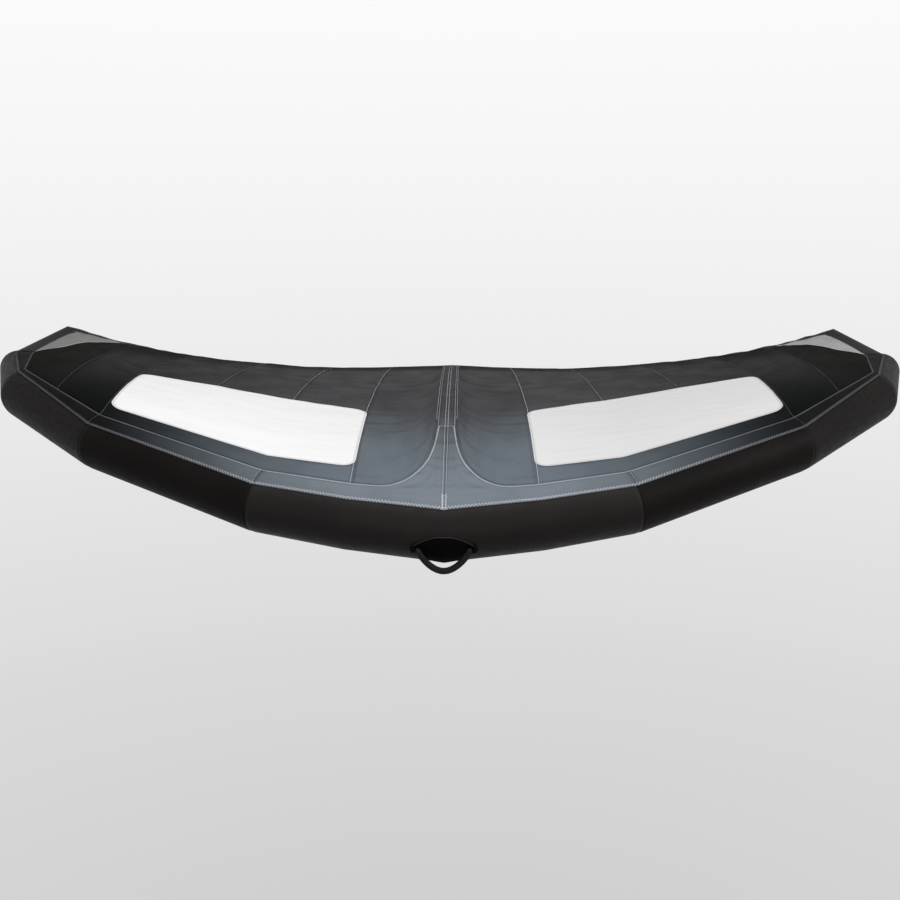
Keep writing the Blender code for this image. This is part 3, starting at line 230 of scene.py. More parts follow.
# %% The sweep's colour: a pale ramp for the camera, plain grey for light
backdrop = Finish("backdrop", (0.62, 0.62, 0.62), 0.9)
place = backdrop.node("SeparateXYZ", {0: backdrop.place()})
away = backdrop.node("VectorMath", {0: backdrop.place()}, operation="LENGTH").outputs["Value"]
AWAY_SHARE, LEVEL_SPAN = 0.12, 7.3
rise = backdrop.calc("MULTIPLY_ADD", away, AWAY_SHARE, place.outputs["Z"])
level = backdrop.calc("DIVIDE", rise, LEVEL_SPAN)
tone = backdrop.node("ValToRGB", {0: level}).outputs["Color"]
TONES = (
    (0.040, 0.648), (0.057, 0.672), (0.081, 0.701), (0.128, 0.745),
    (0.236, 0.791), (0.467, 0.880), (0.681, 0.939), (0.963, 1.0),
)
stops = tone.node.color_ramp.elements
stops[0].position, stops[1].position = TONES[0][0], TONES[-1][0]
stops[0].color, stops[1].color = (*[TONES[0][1]] * 3, 1), (*[TONES[-1][1]] * 3, 1)
for spot, grey in TONES[1:-1]:
    stops.new(spot).color = (grey, grey, grey, 1)
glow = backdrop.node("Emission", {"Color": tone, "Strength": 1.0}).outputs[0]
seen = backdrop.node("LightPath")
watched = backdrop.calc("MAXIMUM", seen.outputs["Is Camera Ray"], seen.outputs["Is Glossy Ray"])
watched = backdrop.calc("MAXIMUM", watched, seen.outputs["Is Transmission Ray"])
shown = backdrop.calc("MULTIPLY", watched, 0.95)
look = backdrop.node("MixShader", {0: shown, 1: backdrop.shader.outputs[0], 2: glow})
backdrop.tree.links.new(look.outputs[0], backdrop.tree.nodes["Material Output"].inputs[0])
sweep.data.materials.append(backdrop.material)
print("backdrop tones", [grey for spot, grey in TONES])

# %% [markdown]
# ## The front tube's line
# The tube isn't bent smoothly. It is sewn from straight cones that meet at flat cuts, and each cut
# turns it a little further back and up. So the whole shape comes from a few bend points and the
# radius at each. A point on the tube is found between the two rings at the ends of its cone.

# %% Bends, radii and rings
TO_WORLD = np.array((0, -0.5, -0.07043))
BENDS = [
    Vector((0, 0, 0)),
    Vector((0.26477, 0.02062, 0.02460)),
    Vector((0.51941, 0.06970, 0.05394)),
    Vector((1.03451, 0.31222, 0.16211)),
    Vector((1.38466, 0.66417, 0.23646)),
    Vector((1.490, 0.889, 0.2795)),
]
RADII = (0.098, 0.09528, 0.09154, 0.0861, 0.08406, 0.064)
LAST = len(BENDS) - 1


def ring_point(i, degrees, lift=0.0):
    """A point round bend i on its cut, degrees forward of the top, lift above the tube."""
    inner = (BENDS[i] - BENDS[i - 1]).normalized() if i else Vector((1, 0, 0))
    outer = (BENDS[i + 1] - BENDS[i]).normalized() if i < LAST else inner
    along = (inner + outer).normalized() if i else Vector((1, 0, 0))
    forward = along.cross(Vector((0, 0, 1))).normalized()
    upward = forward.cross(along)
    turn = math.radians(degrees)
    out = upward * math.cos(turn) + forward * math.sin(turn)
    return BENDS[i] + out * (RADII[i] + lift) / math.sqrt(1 - out.dot(outer) ** 2)


def cone_point(i, share, degrees, lift=0.0):
    """A point on the cone from bend i to the next, share of the way out."""
    return ring_point(i, degrees, lift).lerp(ring_point(i + 1, degrees, lift), share)


def tube_at(x, degrees, lift=0.0):
    """A point on the middle two cones, found by its place across the wing."""
    i = 0 if x <= BENDS[1].x else 1
    return cone_point(i, (x - BENDS[i].x) / (BENDS[i + 1].x - BENDS[i].x), degrees, lift)


def steps(first, last, count):
    return [first + (last - first) * k / count for k in range(count + 1)]


def dome_rings(ring, centre, out, angles):
    """Rings that close a round end, each narrower and further out than the one before."""
    rings = []
    for turn in [math.radians(angle) for angle in angles]:
        rise = out * math.sin(turn)
        rings.append([centre + (p - centre) * math.cos(turn) + rise for p in ring])
    return rings


print("tube from bend to bend", [round((b - a).length, 3) for a, b in zip(BENDS, BENDS[1:])])

# %% [markdown]
# ## The canopy's surface
# The cloth leaves the top of the tube, rises in a shallow arch and comes down to the trailing edge.
# One rule gives its height over any place: the line from tube to trailing edge, plus the arch. All
# panels use the same rule, so their edges meet without a step.

# %% Edges of the canopy
LIFT = 0.0009
LEAVE_ANGLES = (12, 12, 12, 12, 10, -12)
SEAM_ANGLES = (45, 45, 45, 42, 21, 14)
LEAVE_LINE = [ring_point(i, LEAVE_ANGLES[i], LIFT) for i in range(LAST + 1)]
STRIP_LINE = [ring_point(i, angle, LIFT) for i, angle in enumerate((5, 5, 5, 5, 0))]
STRIP_LINE.append(Vector((1.426, 0.870, 0)))
HEM_END = ring_point(LAST, 4, LIFT)
TIP = Vector((1.428, 1.227, 0.38))
TRAIL_Y, TRAIL_Z, SWEEP, RISE, SAG = 2.048, 0.093, 0.821, 0.287, 0.009


def along_line(points, x):
    """The point at x on a line whose x grows."""
    k = 1
    while k < len(points) - 1 and x > points[k].x:
        k += 1
    first, second = points[k - 1], points[k]
    return first.lerp(second, (x - first.x) / (second.x - first.x))


def trailing(x):
    """The back edge of the cloth at x."""
    if x > TIP.x:
        return TIP.lerp(HEM_END, min((x - TIP.x) / (HEM_END.x - TIP.x), 1))
    share = x / TIP.x
    z = TRAIL_Z + RISE * share**3 - SAG * math.sin(math.pi * min(share / 0.55, 1))
    return Vector((x, TRAIL_Y - SWEEP * share**2, z))


print("trailing edge from", trailing(0)[:], "to", TIP[:])

# %% Height of the cloth over a place
CREST = 0.35


def arch(share):
    if share < CREST:
        return (2 * CREST * share - share**2) / CREST**2
    return (1 - 2 * CREST + 2 * CREST * share - share**2) / (1 - CREST) ** 2


def tube_top(x, y):
    """How high the tube stands over x, y, or 0 beside it."""
    highest = 0
    for i in range(1, LAST):
        run = BENDS[i + 1] - BENDS[i]
        flat = Vector((run.x, run.y))
        offset = Vector((x - BENDS[i].x, y - BENDS[i].y))
        share = min(max(offset.dot(flat) / flat.length_squared, 0), 1)
        radius = RADII[i] + (RADII[i + 1] - RADII[i]) * share
        aside = (offset - flat * share).length
        if aside < radius:
            rise = math.sqrt(radius**2 - aside**2) * run.length / flat.length
            highest = max(highest, (BENDS[i] + run * share).z + rise)
    return highest


def cloth_point(x, y):
    front = along_line(LEAVE_LINE, x)
    back = trailing(x)
    chord = back.y - front.y
    share = min(max((y - front.y) / chord, 0), 1) if chord > 0.0003 else 0
    rise = 0.045 * chord * arch(share) * (1 - min(x / TIP.x, 1) ** 12)
    height = front.z + (back.z - front.z) * share + rise
    return Vector((x, y, max(height, tube_top(x, y) + LIFT)))


print("cloth height over the strut", [round(cloth_point(0, y).z, 3) for y in (0, 0.5, 1, 1.5, 2)])

# %% [markdown]
# ## Where the seams run
# Each seam is a line in plan. The curved ones are drawn through a few measured places with a
# smooth curve, so that the cloth pieces on both sides follow the same sweep.

# %% Seam lines
S1, S2 = STRIP_LINE[1].x, STRIP_LINE[2].x
S4 = STRIP_LINE[3].x
S3 = (S2 + S4) / 2
S5 = S4 + (STRIP_LINE[4].x - S4) * 0.55
HEM_FRONT = STRIP_LINE[-1]
BAND = 0.028
CORNER_X = 1.395
PATCH_X = S5 + 0.0385
HEM = 0.028


def smooth_line(xs, ys, x):
    """A curve through the points that never overshoots them."""
    xs, ys = np.array(xs), np.array(ys)
    slopes = np.diff(ys) / np.diff(xs)
    first, second = slopes[:-1], slopes[1:]
    inner = np.where(first * second > 0, 2 * first * second / (first + second + 1e-12), 0)
    tangents = np.concatenate(([slopes[0]], inner, [slopes[-1]]))
    k = int(np.clip(np.searchsorted(xs, x) - 1, 0, len(xs) - 2))
    span = xs[k + 1] - xs[k]
    t = min(max((x - xs[k]) / span, 0), 1)
    a, b = 2 * t**3 - 3 * t**2 + 1, t**3 - 2 * t**2 + t
    level = a * ys[k] + (1 - a) * ys[k + 1]
    return float(level + span * (b * tangents[k] + (t**3 - t**2) * tangents[k + 1]))


def strip_back(x):
    return along_line(STRIP_LINE, x).y


SCOOP_XS = [BAND + (S1 - BAND) * s for s in (0, 0.02, 0.045, 0.12, 0.24, 0.37, 0.58, 0.72, 1)]
SCOOP_YS = [0.475 * s for s in (1, 0.78, 0.61, 0.38, 0.215, 0.105, 0.021, 0.006, 0)]


def scoop_back(x):
    """The curved seam of the front centre cloth."""
    return strip_back(x) + (smooth_line(SCOOP_XS, SCOOP_YS, x) if x < S1 else 0)


def corner_pull(x):
    rest = 0.045 - max(min(x - S1, S4 - x), 0)
    return 0.045 - math.sqrt(0.045**2 - rest**2) if rest > 0 else 0


def window_front(x):
    return strip_back(x) + 0.095 - 0.028 * (x - S1) / (S4 - S1) + corner_pull(x)


def window_back(x):
    line = [Vector((at, 0.765 * s, 0)) for at, s in zip((S1, S2, S3, S4), (0.785, 0.915, 0.98, 1))]
    return along_line(line, x).y - corner_pull(x)


def hem_inner(x):
    if x <= CORNER_X:
        return trailing(x).y - HEM * math.sqrt(1 + (2 * SWEEP * x / TIP.x**2) ** 2)
    corner_y = hem_inner(CORNER_X)
    return corner_y + (HEM_FRONT.y - corner_y) * (x - CORNER_X) / (HEM_FRONT.x - CORNER_X)


def patch_front(x):
    reach, start = HEM_FRONT.x - PATCH_X, hem_inner(PATCH_X)
    xs = [PATCH_X + reach * s for s in (0, 0.14, 0.40, 0.52, 0.65, 1)]
    ys = [HEM_FRONT.y + (start - HEM_FRONT.y) * s for s in (1, 0.83, 0.57, 0.40, 0.20, 0)]
    return smooth_line(xs, ys, x)


def outer_back(x):
    return hem_inner(x) if x < PATCH_X else patch_front(x)


print("chordwise seams at", [round(x, 3) for x in (S1, S2, S3, S4, S5)])

# %% [markdown]
# ## Laying cloth
# Every cloth piece starts as a flat grid primitive. Its points are then laid on the surface, column
# by column, as a pattern cutter lays a panel on a mould. Two things are stored on the piece for its
# finish: a map in metres across and along the cloth, for the weave, and for every point the distance
# to each of the four edges with the place along that edge, for the stitching.

# %% Helpers for laid grids
def stored(mesh, name, values):
    """Keeps four numbers for each point of the mesh."""
    layer = mesh.attributes.new(name, "FLOAT_COLOR", "POINT")
    layer.data.foreach_set("color", np.asarray(values, np.float32).ravel())


def to_edge(points, line):
    """How far each point is from a line of points, and how far along the line its nearest place is."""
    starts, runs = line[:-1], line[1:] - line[:-1]
    lengths = np.linalg.norm(runs, axis=1)
    before = np.concatenate(([0], np.cumsum(lengths)[:-1]))
    best, place = np.full(len(points), 9.0), np.zeros(len(points))
    for start, run, length, past in zip(starts, runs, lengths, before):
        if length < 1e-9:
            continue
        share = np.clip((points - start) @ run / length**2, 0, 1)
        gap = np.linalg.norm(points - start - share[:, None] * run, axis=1)
        nearer = gap < best
        best[nearer], place[nearer] = gap[nearer], past + share[nearer] * length
    return best, place


def lay_grid(name, columns):
    """A grid primitive whose points are laid on the columns, which are in the tube's own frame."""
    spots = np.array([[tuple(p) for p in column] for column in columns], float) + TO_WORLD
    across, along = spots.shape[0] - 1, spots.shape[1] - 1
    deselect()
    bpy.ops.mesh.primitive_grid_add(x_subdivisions=across, y_subdivisions=along, size=2)
    piece = bpy.context.object
    piece.name = piece.data.name = name
    mesh = piece.data
    flat = np.zeros(len(mesh.vertices) * 3)
    mesh.vertices.foreach_get("co", flat)
    flat = flat.reshape(-1, 3)
    j = np.rint((flat[:, 0] + 1) / 2 * across).astype(int)
    k = np.rint((flat[:, 1] + 1) / 2 * along).astype(int)
    laid = spots[j, k]
    mesh.vertices.foreach_set("co", laid.ravel())
    step_x = np.linalg.norm(np.diff(spots, axis=0), axis=2)
    step_y = np.linalg.norm(np.diff(spots, axis=1), axis=2)
    run_x = np.concatenate((np.zeros((1, along + 1)), np.cumsum(step_x, axis=0)))
    run_y = np.concatenate((np.zeros((across + 1, 1)), np.cumsum(step_y, axis=1)), axis=1)
    cloth = mesh.uv_layers[0]
    cloth.name = "cloth"
    loops = np.zeros(len(mesh.loops), int)
    mesh.loops.foreach_get("vertex_index", loops)
    uv = np.stack((run_x[j, k][loops], run_y[j, k][loops]), axis=1)
    cloth.data.foreach_set("uv", uv.ravel())
    edges = [to_edge(laid, line) for line in (spots[:, 0], spots[:, -1], spots[0], spots[-1])]
    stored(mesh, "edge_gap", np.stack([gap for gap, past in edges], axis=1))
    stored(mesh, "edge_run", np.stack([past for gap, past in edges], axis=1))
    mesh.update()
    bpy.ops.object.shade_smooth()
    return piece


def cloth_size(piece):
    """How far a laid grid runs across and along, in metres of cloth, and its area."""
    uv = np.zeros(len(piece.data.loops) * 2)
    piece.data.uv_layers["cloth"].data.foreach_get("uv", uv)
    across, along = uv.reshape(-1, 2).max(axis=0)
    return float(across), float(along), sum(f.area for f in piece.data.polygons)


def thicken(piece, wall, offset=1.0):
    """Gives a laid grid its wall, outwards for a positive offset."""
    made = piece.modifiers.new("wall", "SOLIDIFY")
    made.thickness = wall
    made.offset = offset
    made.use_even_offset = False
    bpy.context.view_layer.objects.active = piece
    bpy.ops.object.modifier_apply(modifier=made.name)


WELD = 0.00005


def outwards(piece, weld=False):
    """Turns all faces outwards. weld first joins the points that meet where a piece is rolled up."""
    bpy.context.view_layer.objects.active = piece
    bpy.ops.object.mode_set(mode="EDIT")
    bpy.ops.mesh.select_all(action="SELECT")
    if weld:
        bpy.ops.mesh.remove_doubles(threshold=WELD)
    bpy.ops.mesh.normals_make_consistent(inside=False)
    bpy.ops.object.mode_set(mode="OBJECT")


def belongs(piece, finish, body="wing", stands_for=()):
    """Gives a piece its finish, its body and the model's nodes that it stands for."""
    piece.data.materials.append(finish)
    if stands_for:
        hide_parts(*stands_for)
    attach(piece, body)
    return piece


def mirrored(columns):
    """The same columns on the other side of the wing's middle."""
    return [[Vector((-p.x, p.y, p.z)) for p in column] for column in columns]


SIDES = ((1, "right"), (-1, "left"))
print("laying helpers ready")

# %% [markdown]
# ## Sailcloth, tape and thread
# Ripstop is a thin woven cloth with a thicker thread every few millimetres, which shows as a fine
# grid. It is coated, so it shines softly at a low angle. The stitching is written into the finish
# rather than modelled: a pale thread a little over a millimetre wide, which steps from side to side
# of its line in a zigzag, or runs in short dashes. The stored edge distances say where it lies.

# %% Stitching, as a sum of nodes
# THREAD_SHADED_FAR is the same pale thread with painted shade, for far out on the wing.
THREAD, THREAD_SHADED_FAR, THREAD_DULL = (0.68, 0.70, 0.74), (0.16, 0.16, 0.17), (0.16, 0.16, 0.165)
EDGES = {"front": 0, "back": 1, "inner": 2, "outer": 3}


def edge_values(finish, attribute):
    """The four stored numbers, one socket for each edge."""
    read = finish.node("Attribute", attribute_name=attribute)
    parts = finish.node("SeparateColor", {0: read.outputs["Color"]})
    return [*parts.outputs[:3], read.outputs["Alpha"]]


THREAD_WIDTH = 0.0012


def stitch_row(finish, gap, run, offset, swing, pitch):
    """1 on the thread of one row. A row with swing is a zigzag, and one without is dashes."""
    if swing:
        wave = finish.calc("PINGPONG", run, pitch / 2)
        wave = finish.calc("MULTIPLY_ADD", wave, 4 * swing / pitch, offset - swing)
        side = finish.calc("ABSOLUTE", finish.calc("SUBTRACT", gap, wave))
        slant = math.sqrt(1 + (4 * swing / pitch) ** 2)
        return finish.calc("LESS_THAN", side, 0.6 * THREAD_WIDTH * slant)
    side = finish.calc("ABSOLUTE", finish.calc("SUBTRACT", gap, offset))
    near = finish.calc("LESS_THAN", side, THREAD_WIDTH / 2)
    dash = finish.calc("LESS_THAN", finish.calc("PINGPONG", run, pitch / 2), pitch * 0.36)
    return finish.calc("MULTIPLY", near, dash)


def stitching(finish, rows):
    """All rows of a piece. Each is (edge, offset, swing, pitch)."""
    gaps, runs = edge_values(finish, "edge_gap"), edge_values(finish, "edge_run")
    total = None
    for edge, offset, swing, pitch in rows:
        k = EDGES[edge]
        row = stitch_row(finish, gaps[k], runs[k], offset, swing, pitch)
        total = row if total is None else finish.calc("MAXIMUM", total, row)
    nearest = finish.calc("MINIMUM", finish.calc("MINIMUM", *gaps[:2]), finish.calc("MINIMUM", *gaps[2:]))
    return total, finish.ramp(nearest, 0.0085, 0.0095, 1.0, 0.0)


ZIGZAG = ("front", 0.0058, 0.0040, 0.0092)
FINE_BACK = ("back", 0.0044, 0.0020, 0.0084)
DASH = 0.0080
DASHES = ("inner", 0.0045, 0, DASH)
print("thread rows:", ZIGZAG, FINE_BACK, DASHES)

# %% Ripstop finishes
GRID, ROUGHNESS, DOUBLED_REACH = 0.0075, 0.70, 0.06
DARK = (0.008, 0.007, 0.0065)


def painted_light_and_shade(made, front, back, late=0.0):
    """The cloth's colour over the wing. front and back are pairs: near the middle, and far out.

    Partly the cloth's own colour and partly painted light and shade: palest at the front middle, where
    the key light falls, and darker outwards and backwards. late is how much painted shade darkens the back
    edge.
    """
    where = made.node("SeparateXYZ", {0: made.place()})
    out = made.calc("ABSOLUTE", where.outputs["X"])
    # painted light and shade: paler near the middle, darker outwards
    first = made.mix(made.ramp(out, 0.20, 1.05), *front)
    then = made.mix(made.ramp(out, 0.30, 1.10), *back)
    depth = made.calc("MULTIPLY_ADD", out, -0.30, where.outputs["Y"])
    # painted shade: darker towards the back
    colour = made.mix(made.ramp(depth, -0.48, 0.18), first, then)
    if late:
        gaps = edge_values(made, "edge_gap")
        # painted shade: darker still towards the trailing edge
        colour = made.mix(made.ramp(gaps[1], 0.10, 0.42, late, 0.0), colour, DARK)
    return colour, out


def ripstop(name, rows, front, back, late=0.0, doubled=None, grain=0.55, gloss=0.012):
    """Coated ripstop. grain is how far the thick threads stand out, and doubled is a thread row that
    only the cloth's first few centimetres have, where the seam is sewn twice."""
    made = Finish(name, front[0], ROUGHNESS, Specular_IOR_Level=gloss)
    colour, out = painted_light_and_shade(made, front, back, late)
    uv = made.cloth()
    cells = made.node("SeparateXYZ", {0: made.mapping(uv, (1 / GRID, 1 / GRID, 1))})
    across = made.calc("PINGPONG", cells.outputs["X"], 0.5)
    along = made.calc("PINGPONG", cells.outputs["Y"], 0.5)
    line = made.ramp(made.calc("MINIMUM", across, along), 0.05, 0.20, 1.0, 0.0)
    mottle = made.noise(made.mapping(uv, (9, 5, 1)), 1.0, 4.0)
    crush = made.noise(made.mapping(uv, (1.7, 17, 1), 0.08), 1.0, 3.0, 0.55)
    colour = made.mix(made.ramp(mottle, 0.35, 0.75, 0.0, 0.14), colour, DARK)
    # painted shade: the cloth darkens along the crush creases that the bump raises
    colour = made.mix(made.ramp(crush, 0.48, 0.72, 0.0, 0.26), colour, DARK)
    paler = made.node("VectorMath", {0: colour, "Scale": 1.6}, operation="SCALE").outputs[0]
    colour = made.mix(made.calc("MULTIPLY", line, grain), colour, paler)
    thread, fold = stitching(made, rows)
    if doubled:
        gaps, runs = edge_values(made, "edge_gap"), edge_values(made, "edge_run")
        k = EDGES[doubled[0]]
        row = stitch_row(made, gaps[k], runs[k], *doubled[1:])
        in_reach = made.calc("LESS_THAN", gaps[0], DOUBLED_REACH)
        thread = made.calc("MAXIMUM", thread, made.calc("MULTIPLY", row, in_reach))
    colour = made.mix(made.calc("MULTIPLY", fold, 0.16), colour, DARK)
    # painted shade: the thread darkens outwards with the cloth
    thread_colour = made.mix(made.ramp(out, 0.2, 1.2), THREAD, THREAD_SHADED_FAR)
    made.set("Base Color", made.mix(thread, colour, thread_colour))
    made.set("Roughness", made.ramp(mottle, 0.3, 0.8, ROUGHNESS - 0.08, ROUGHNESS + 0.10))
    weave = made.noise(made.mapping(uv, (900, 900, 1)), 1.0, 1.0)
    height = made.calc("MULTIPLY_ADD", line, 0.12, made.calc("MULTIPLY", weave, 0.05))
    height = made.calc("MULTIPLY_ADD", crush, 4.0, height)
    height = made.calc("MULTIPLY_ADD", fold, 0.6, height)
    height = made.calc("MULTIPLY_ADD", thread, 0.5, height)
    made.bump(height, 0.001, 0.8)
    return made.material


# Pairs of near and far colours. The darker far colours, and BEHIND and OUTER_BEHIND towards the back, are
# painted shade on the same cloth.
SLATE = ((0.176, 0.203, 0.232), (0.008, 0.0085, 0.009))
PANEL = ((0.122, 0.145, 0.167), (0.0050, 0.0058, 0.0057))
BEHIND = ((0.054, 0.053, 0.056), (0.026, 0.026, 0.025))
OUTER_BEHIND = (BEHIND[0], (0.030, 0.031, 0.030))
CENTRE_ROW = ("inner", 0.0045, 0.0032, 0.0090)
TUBE_ROWS = [ZIGZAG, FINE_BACK, DASHES]
strip_cloth = ripstop("strip_cloth", TUBE_ROWS, SLATE, BEHIND, grain=0.2)
scoop_cloth = ripstop("scoop_cloth", TUBE_ROWS, SLATE, BEHIND, doubled=CENTRE_ROW, grain=0.2)
band_offsets = (("front", 0.003), ("inner", 0.0022), ("outer", 0.0022), ("inner", 0.0235), ("inner", 0.0325))
band_rows = [(edge, offset, 0, DASH) for edge, offset in band_offsets]
band_cloth = ripstop("band_cloth", band_rows, SLATE, BEHIND)
front_cloth = ripstop("front_cloth", [DASHES], PANEL, BEHIND)
rear_cloth = ripstop("rear_cloth", [DASHES], PANEL, BEHIND, late=0.92)
outer_cloth = ripstop("outer_cloth", [DASHES], PANEL, OUTER_BEHIND, late=0.70, gloss=0.003)
print("ripstop finishes:", [m.name for m in bpy.data.materials if "cloth" in m.name])

# %% The pale cloth of the tip patches
pale = Finish("pale_cloth", (0.20, 0.20, 0.20), 0.55, Specular_IOR_Level=0.3)
# painted light: the tip patches are paler on the right, where the side light falls, than on the left
pale_side_light = pale.ramp(pale.node("SeparateXYZ", {0: pale.place()}).outputs["X"], -1.2, 1.2)
pale_tone = pale.noise(pale.mapping(pale.cloth(), (12, 20, 1)), 1.0, 3.0)
pale_colour = pale.mix(pale_side_light, (0.17, 0.166, 0.16), (0.34, 0.34, 0.335))
pale_colour = pale.mix(pale.ramp(pale_tone, 0.35, 0.7, 0.0, 0.2), pale_colour, (0.05, 0.05, 0.05))
pale_thread = stitching(pale, [("front", 0.004, 0.0014, 0.008)])[0]
pale.set("Base Color", pale.mix(pale.calc("MULTIPLY", pale_thread, 0.8), pale_colour, THREAD))
pale.bump(pale.calc("MULTIPLY_ADD", pale_thread, 0.5, pale_tone), 0.0012, 0.7)
pale = pale.material
print("tip patch finish", pale.name)

# %% Window film and hem tape
film = Finish("film", (0.90, 0.89, 0.89), 0.22, Alpha=0.80, Specular_IOR_Level=0.4)
film_uv = film.cloth()
crease = film.noise(film.mapping(film_uv, (2.2, 16.0, 1), 0.12), 1.0, 3.0, 0.55)
# painted light: the film is drawn paler on the left than on the right
film_side_light = film.ramp(film.node("SeparateXYZ", {0: film.place()}).outputs["X"], -0.6, 0.7)
film_colour = film.mix(film_side_light, (0.98, 0.98, 0.99), (0.72, 0.71, 0.715))
# painted shade: the film darkens along its creases, the same bands that the bump raises
film_colour = film.mix(film.ramp(crease, 0.35, 0.75, 0.0, 0.10), film_colour, (0.45, 0.44, 0.45))
film_rows = [(edge, 0.005, 0, DASH) for edge in EDGES]
film_thread, film_fold = stitching(film, film_rows)
film_colour = film.mix(film.calc("MULTIPLY", film_fold, 0.22), film_colour, (0.30, 0.30, 0.31))
film_colour = film.mix(film.calc("MULTIPLY", film_thread, 0.5), film_colour, THREAD_DULL)
film.set("Base Color", film_colour)
film.bump(film.calc("MULTIPLY_ADD", film_fold, 0.2, crease), 0.003, 0.4)
film = film.material

TAPE = (0.008, 0.0075, 0.008)
hem_tape = Finish("hem_tape", TAPE, 0.7, Specular_IOR_Level=0.15)
hem_rows = [("front", 0.004, 0.0016, 0.0060), ("back", 0.006, 0, 0.0062)]
hem_thread = stitching(hem_tape, hem_rows)[0]
hem_weave = hem_tape.noise(hem_tape.mapping(hem_tape.cloth(), (700, 260, 1)), 1.0, 1.0)
hem_tape.set("Base Color", hem_tape.mix(hem_tape.calc("MULTIPLY", hem_thread, 0.12), TAPE, THREAD))
hem_tape.bump(hem_tape.calc("MULTIPLY_ADD", hem_thread, 0.6, hem_weave), 0.0006, 0.7)
hem_tape = hem_tape.material
print("film and tape ready")

# %% [markdown]
# ## Tube cloth
# The tubes are sewn from a heavier woven polyester, almost black, with a dull, slightly purple
# shine along the lit side. Its weave is too fine to see from afar, but it breaks up the highlight.
# Where two cones meet, a lap seam with one row of dark thread pulls the cloth in a little.

# %% Tube finish
def tube_cloth(name, tint, shine):
    made = Finish(name, tint, 0.55, Specular_IOR_Level=shine, Sheen_Weight=0.012, Sheen_Roughness=0.4)
    made.set("Sheen Tint", (0.86, 0.76, 0.92, 1))
    uv = made.cloth()
    weave_x = made.node("TexWave", {"Vector": uv, "Scale": 330.0}, bands_direction="X").outputs["Fac"]
    weave_y = made.node("TexWave", {"Vector": uv, "Scale": 330.0}, bands_direction="Y").outputs["Fac"]
    weave = made.calc("MULTIPLY", weave_x, weave_y)
    mottle = made.noise(made.mapping(uv, (5, 9, 1)), 1.0, 4.0)
    rub = made.noise(made.mapping(uv, (30, 60, 1)), 1.0, 3.0, 0.7)
    colour = made.mix(made.ramp(mottle, 0.3, 0.75, 0.0, 0.5), tint, tuple(1.7 * c for c in tint))
    gaps = edge_values(made, "edge_gap")
    lap = made.calc("MINIMUM", gaps[2], gaps[3])
    runs = edge_values(made, "edge_run")
    rows = [stitch_row(made, gaps[k], runs[k], 0.006, 0, 0.008) for k in (2, 3)]
    row = made.calc("MAXIMUM", *rows)
    colour = made.mix(made.calc("MULTIPLY", row, 0.6), colour, (0.020, 0.019, 0.020))
    made.set("Base Color", colour)
    made.set("Roughness", made.ramp(rub, 0.3, 0.8, 0.43, 0.60))
    height = made.calc("MULTIPLY_ADD", weave, 0.10, made.calc("MULTIPLY", mottle, 0.35))
    height = made.calc("MULTIPLY_ADD", made.ramp(lap, 0.011, 0.012, 1.0, 0.0), 0.5, height)
    height = made.calc("MULTIPLY_ADD", row, 0.5, height)
    made.bump(height, 0.001, 0.6)
    return made.material


# The same cloth twice: the middle tube's paler tint is painted light where the key light falls, and the outer
# tubes' darker tint is painted shade.
dacron = tube_cloth("tube_cloth", (0.0066, 0.0052, 0.0048), 0.05)
lit_middle_dacron = tube_cloth("lit_middle_tube_cloth", (0.0088, 0.0066, 0.0064), 0.14)
print("tube finishes", dacron.name, lit_middle_dacron.name)

# %% [markdown]
# ## The front tube
# Each length of tube is laid as a grid that wraps right round. Its two long edges meet underneath
# and are welded. Air makes it tight, so it stays round, but the stitching at each cut holds it in,
# and small puckers run out of the seam on the inside of the bend.

# %% Lay the front tube
ROUND = 96
PUCKER_REACH = 0.055


def seam_dent(from_seam, degrees):
    """How far the wall stands off its cone near a seam: a groove, and puckers behind the bend."""
    groove = -0.0016 * math.exp(-((from_seam / 0.006) ** 2))
    inside = max(0.0, math.cos(math.radians(degrees + 115))) ** 2
    fading = math.exp(-2 * from_seam / PUCKER_REACH) * min(from_seam / 0.01, 1)
    pucker = math.sin(math.radians(degrees) * 26) * fading
    return groove + 0.0009 * inside * pucker


def cone_shares(length, seam_at_start, seam_at_end):
    """Shares along a cone: close together by a seam, further apart elsewhere."""
    spots = {0.0, 1.0}
    for near in (0.003, 0.006, 0.010, 0.016, 0.024, 0.034, 0.046):
        if seam_at_start:
            spots.add(near / length)
        if seam_at_end:
            spots.add(1 - near / length)
    spots.update(steps(0.0, 1.0, max(int(length / 0.022), 2)))
    ordered = sorted(spots)
    kept = [ordered[0]]
    for share in ordered[1:]:
        if (share - kept[-1]) * length > 0.0018:
            kept.append(share)
    kept[-1] = 1.0
    return kept


def tube_rings(bends, dome=False):
    """Rings from the middle outwards through the given bends. Inner bends without a seam stay plain."""
    rings = []
    for place, (i, nxt) in enumerate(zip(bends, bends[1:])):
        length = (BENDS[nxt] - BENDS[i]).length
        seam_start, seam_end = i >= 2, nxt >= 2 and not (dome and nxt == LAST)
        for share in cone_shares(length, seam_start, seam_end)[1 if place else 0 :]:
            ring = []
            for degrees in steps(180, -180, ROUND):
                dent = 0.0
                if seam_start:
                    dent += seam_dent(share * length, degrees)
                if seam_end:
                    dent += seam_dent((1 - share) * length, degrees)
                ring.append(cone_point(i, share, degrees, dent))
            rings.append(ring)
    if dome:
        out = (BENDS[LAST] - BENDS[LAST - 1]).normalized() * RADII[LAST]
        last = [ring_point(LAST, degrees) for degrees in steps(180, -180, ROUND)]
        rings += dome_rings(last, BENDS[LAST], out, (8, 16, 25, 35, 45, 56, 67, 78, 84, 90))
    return rings


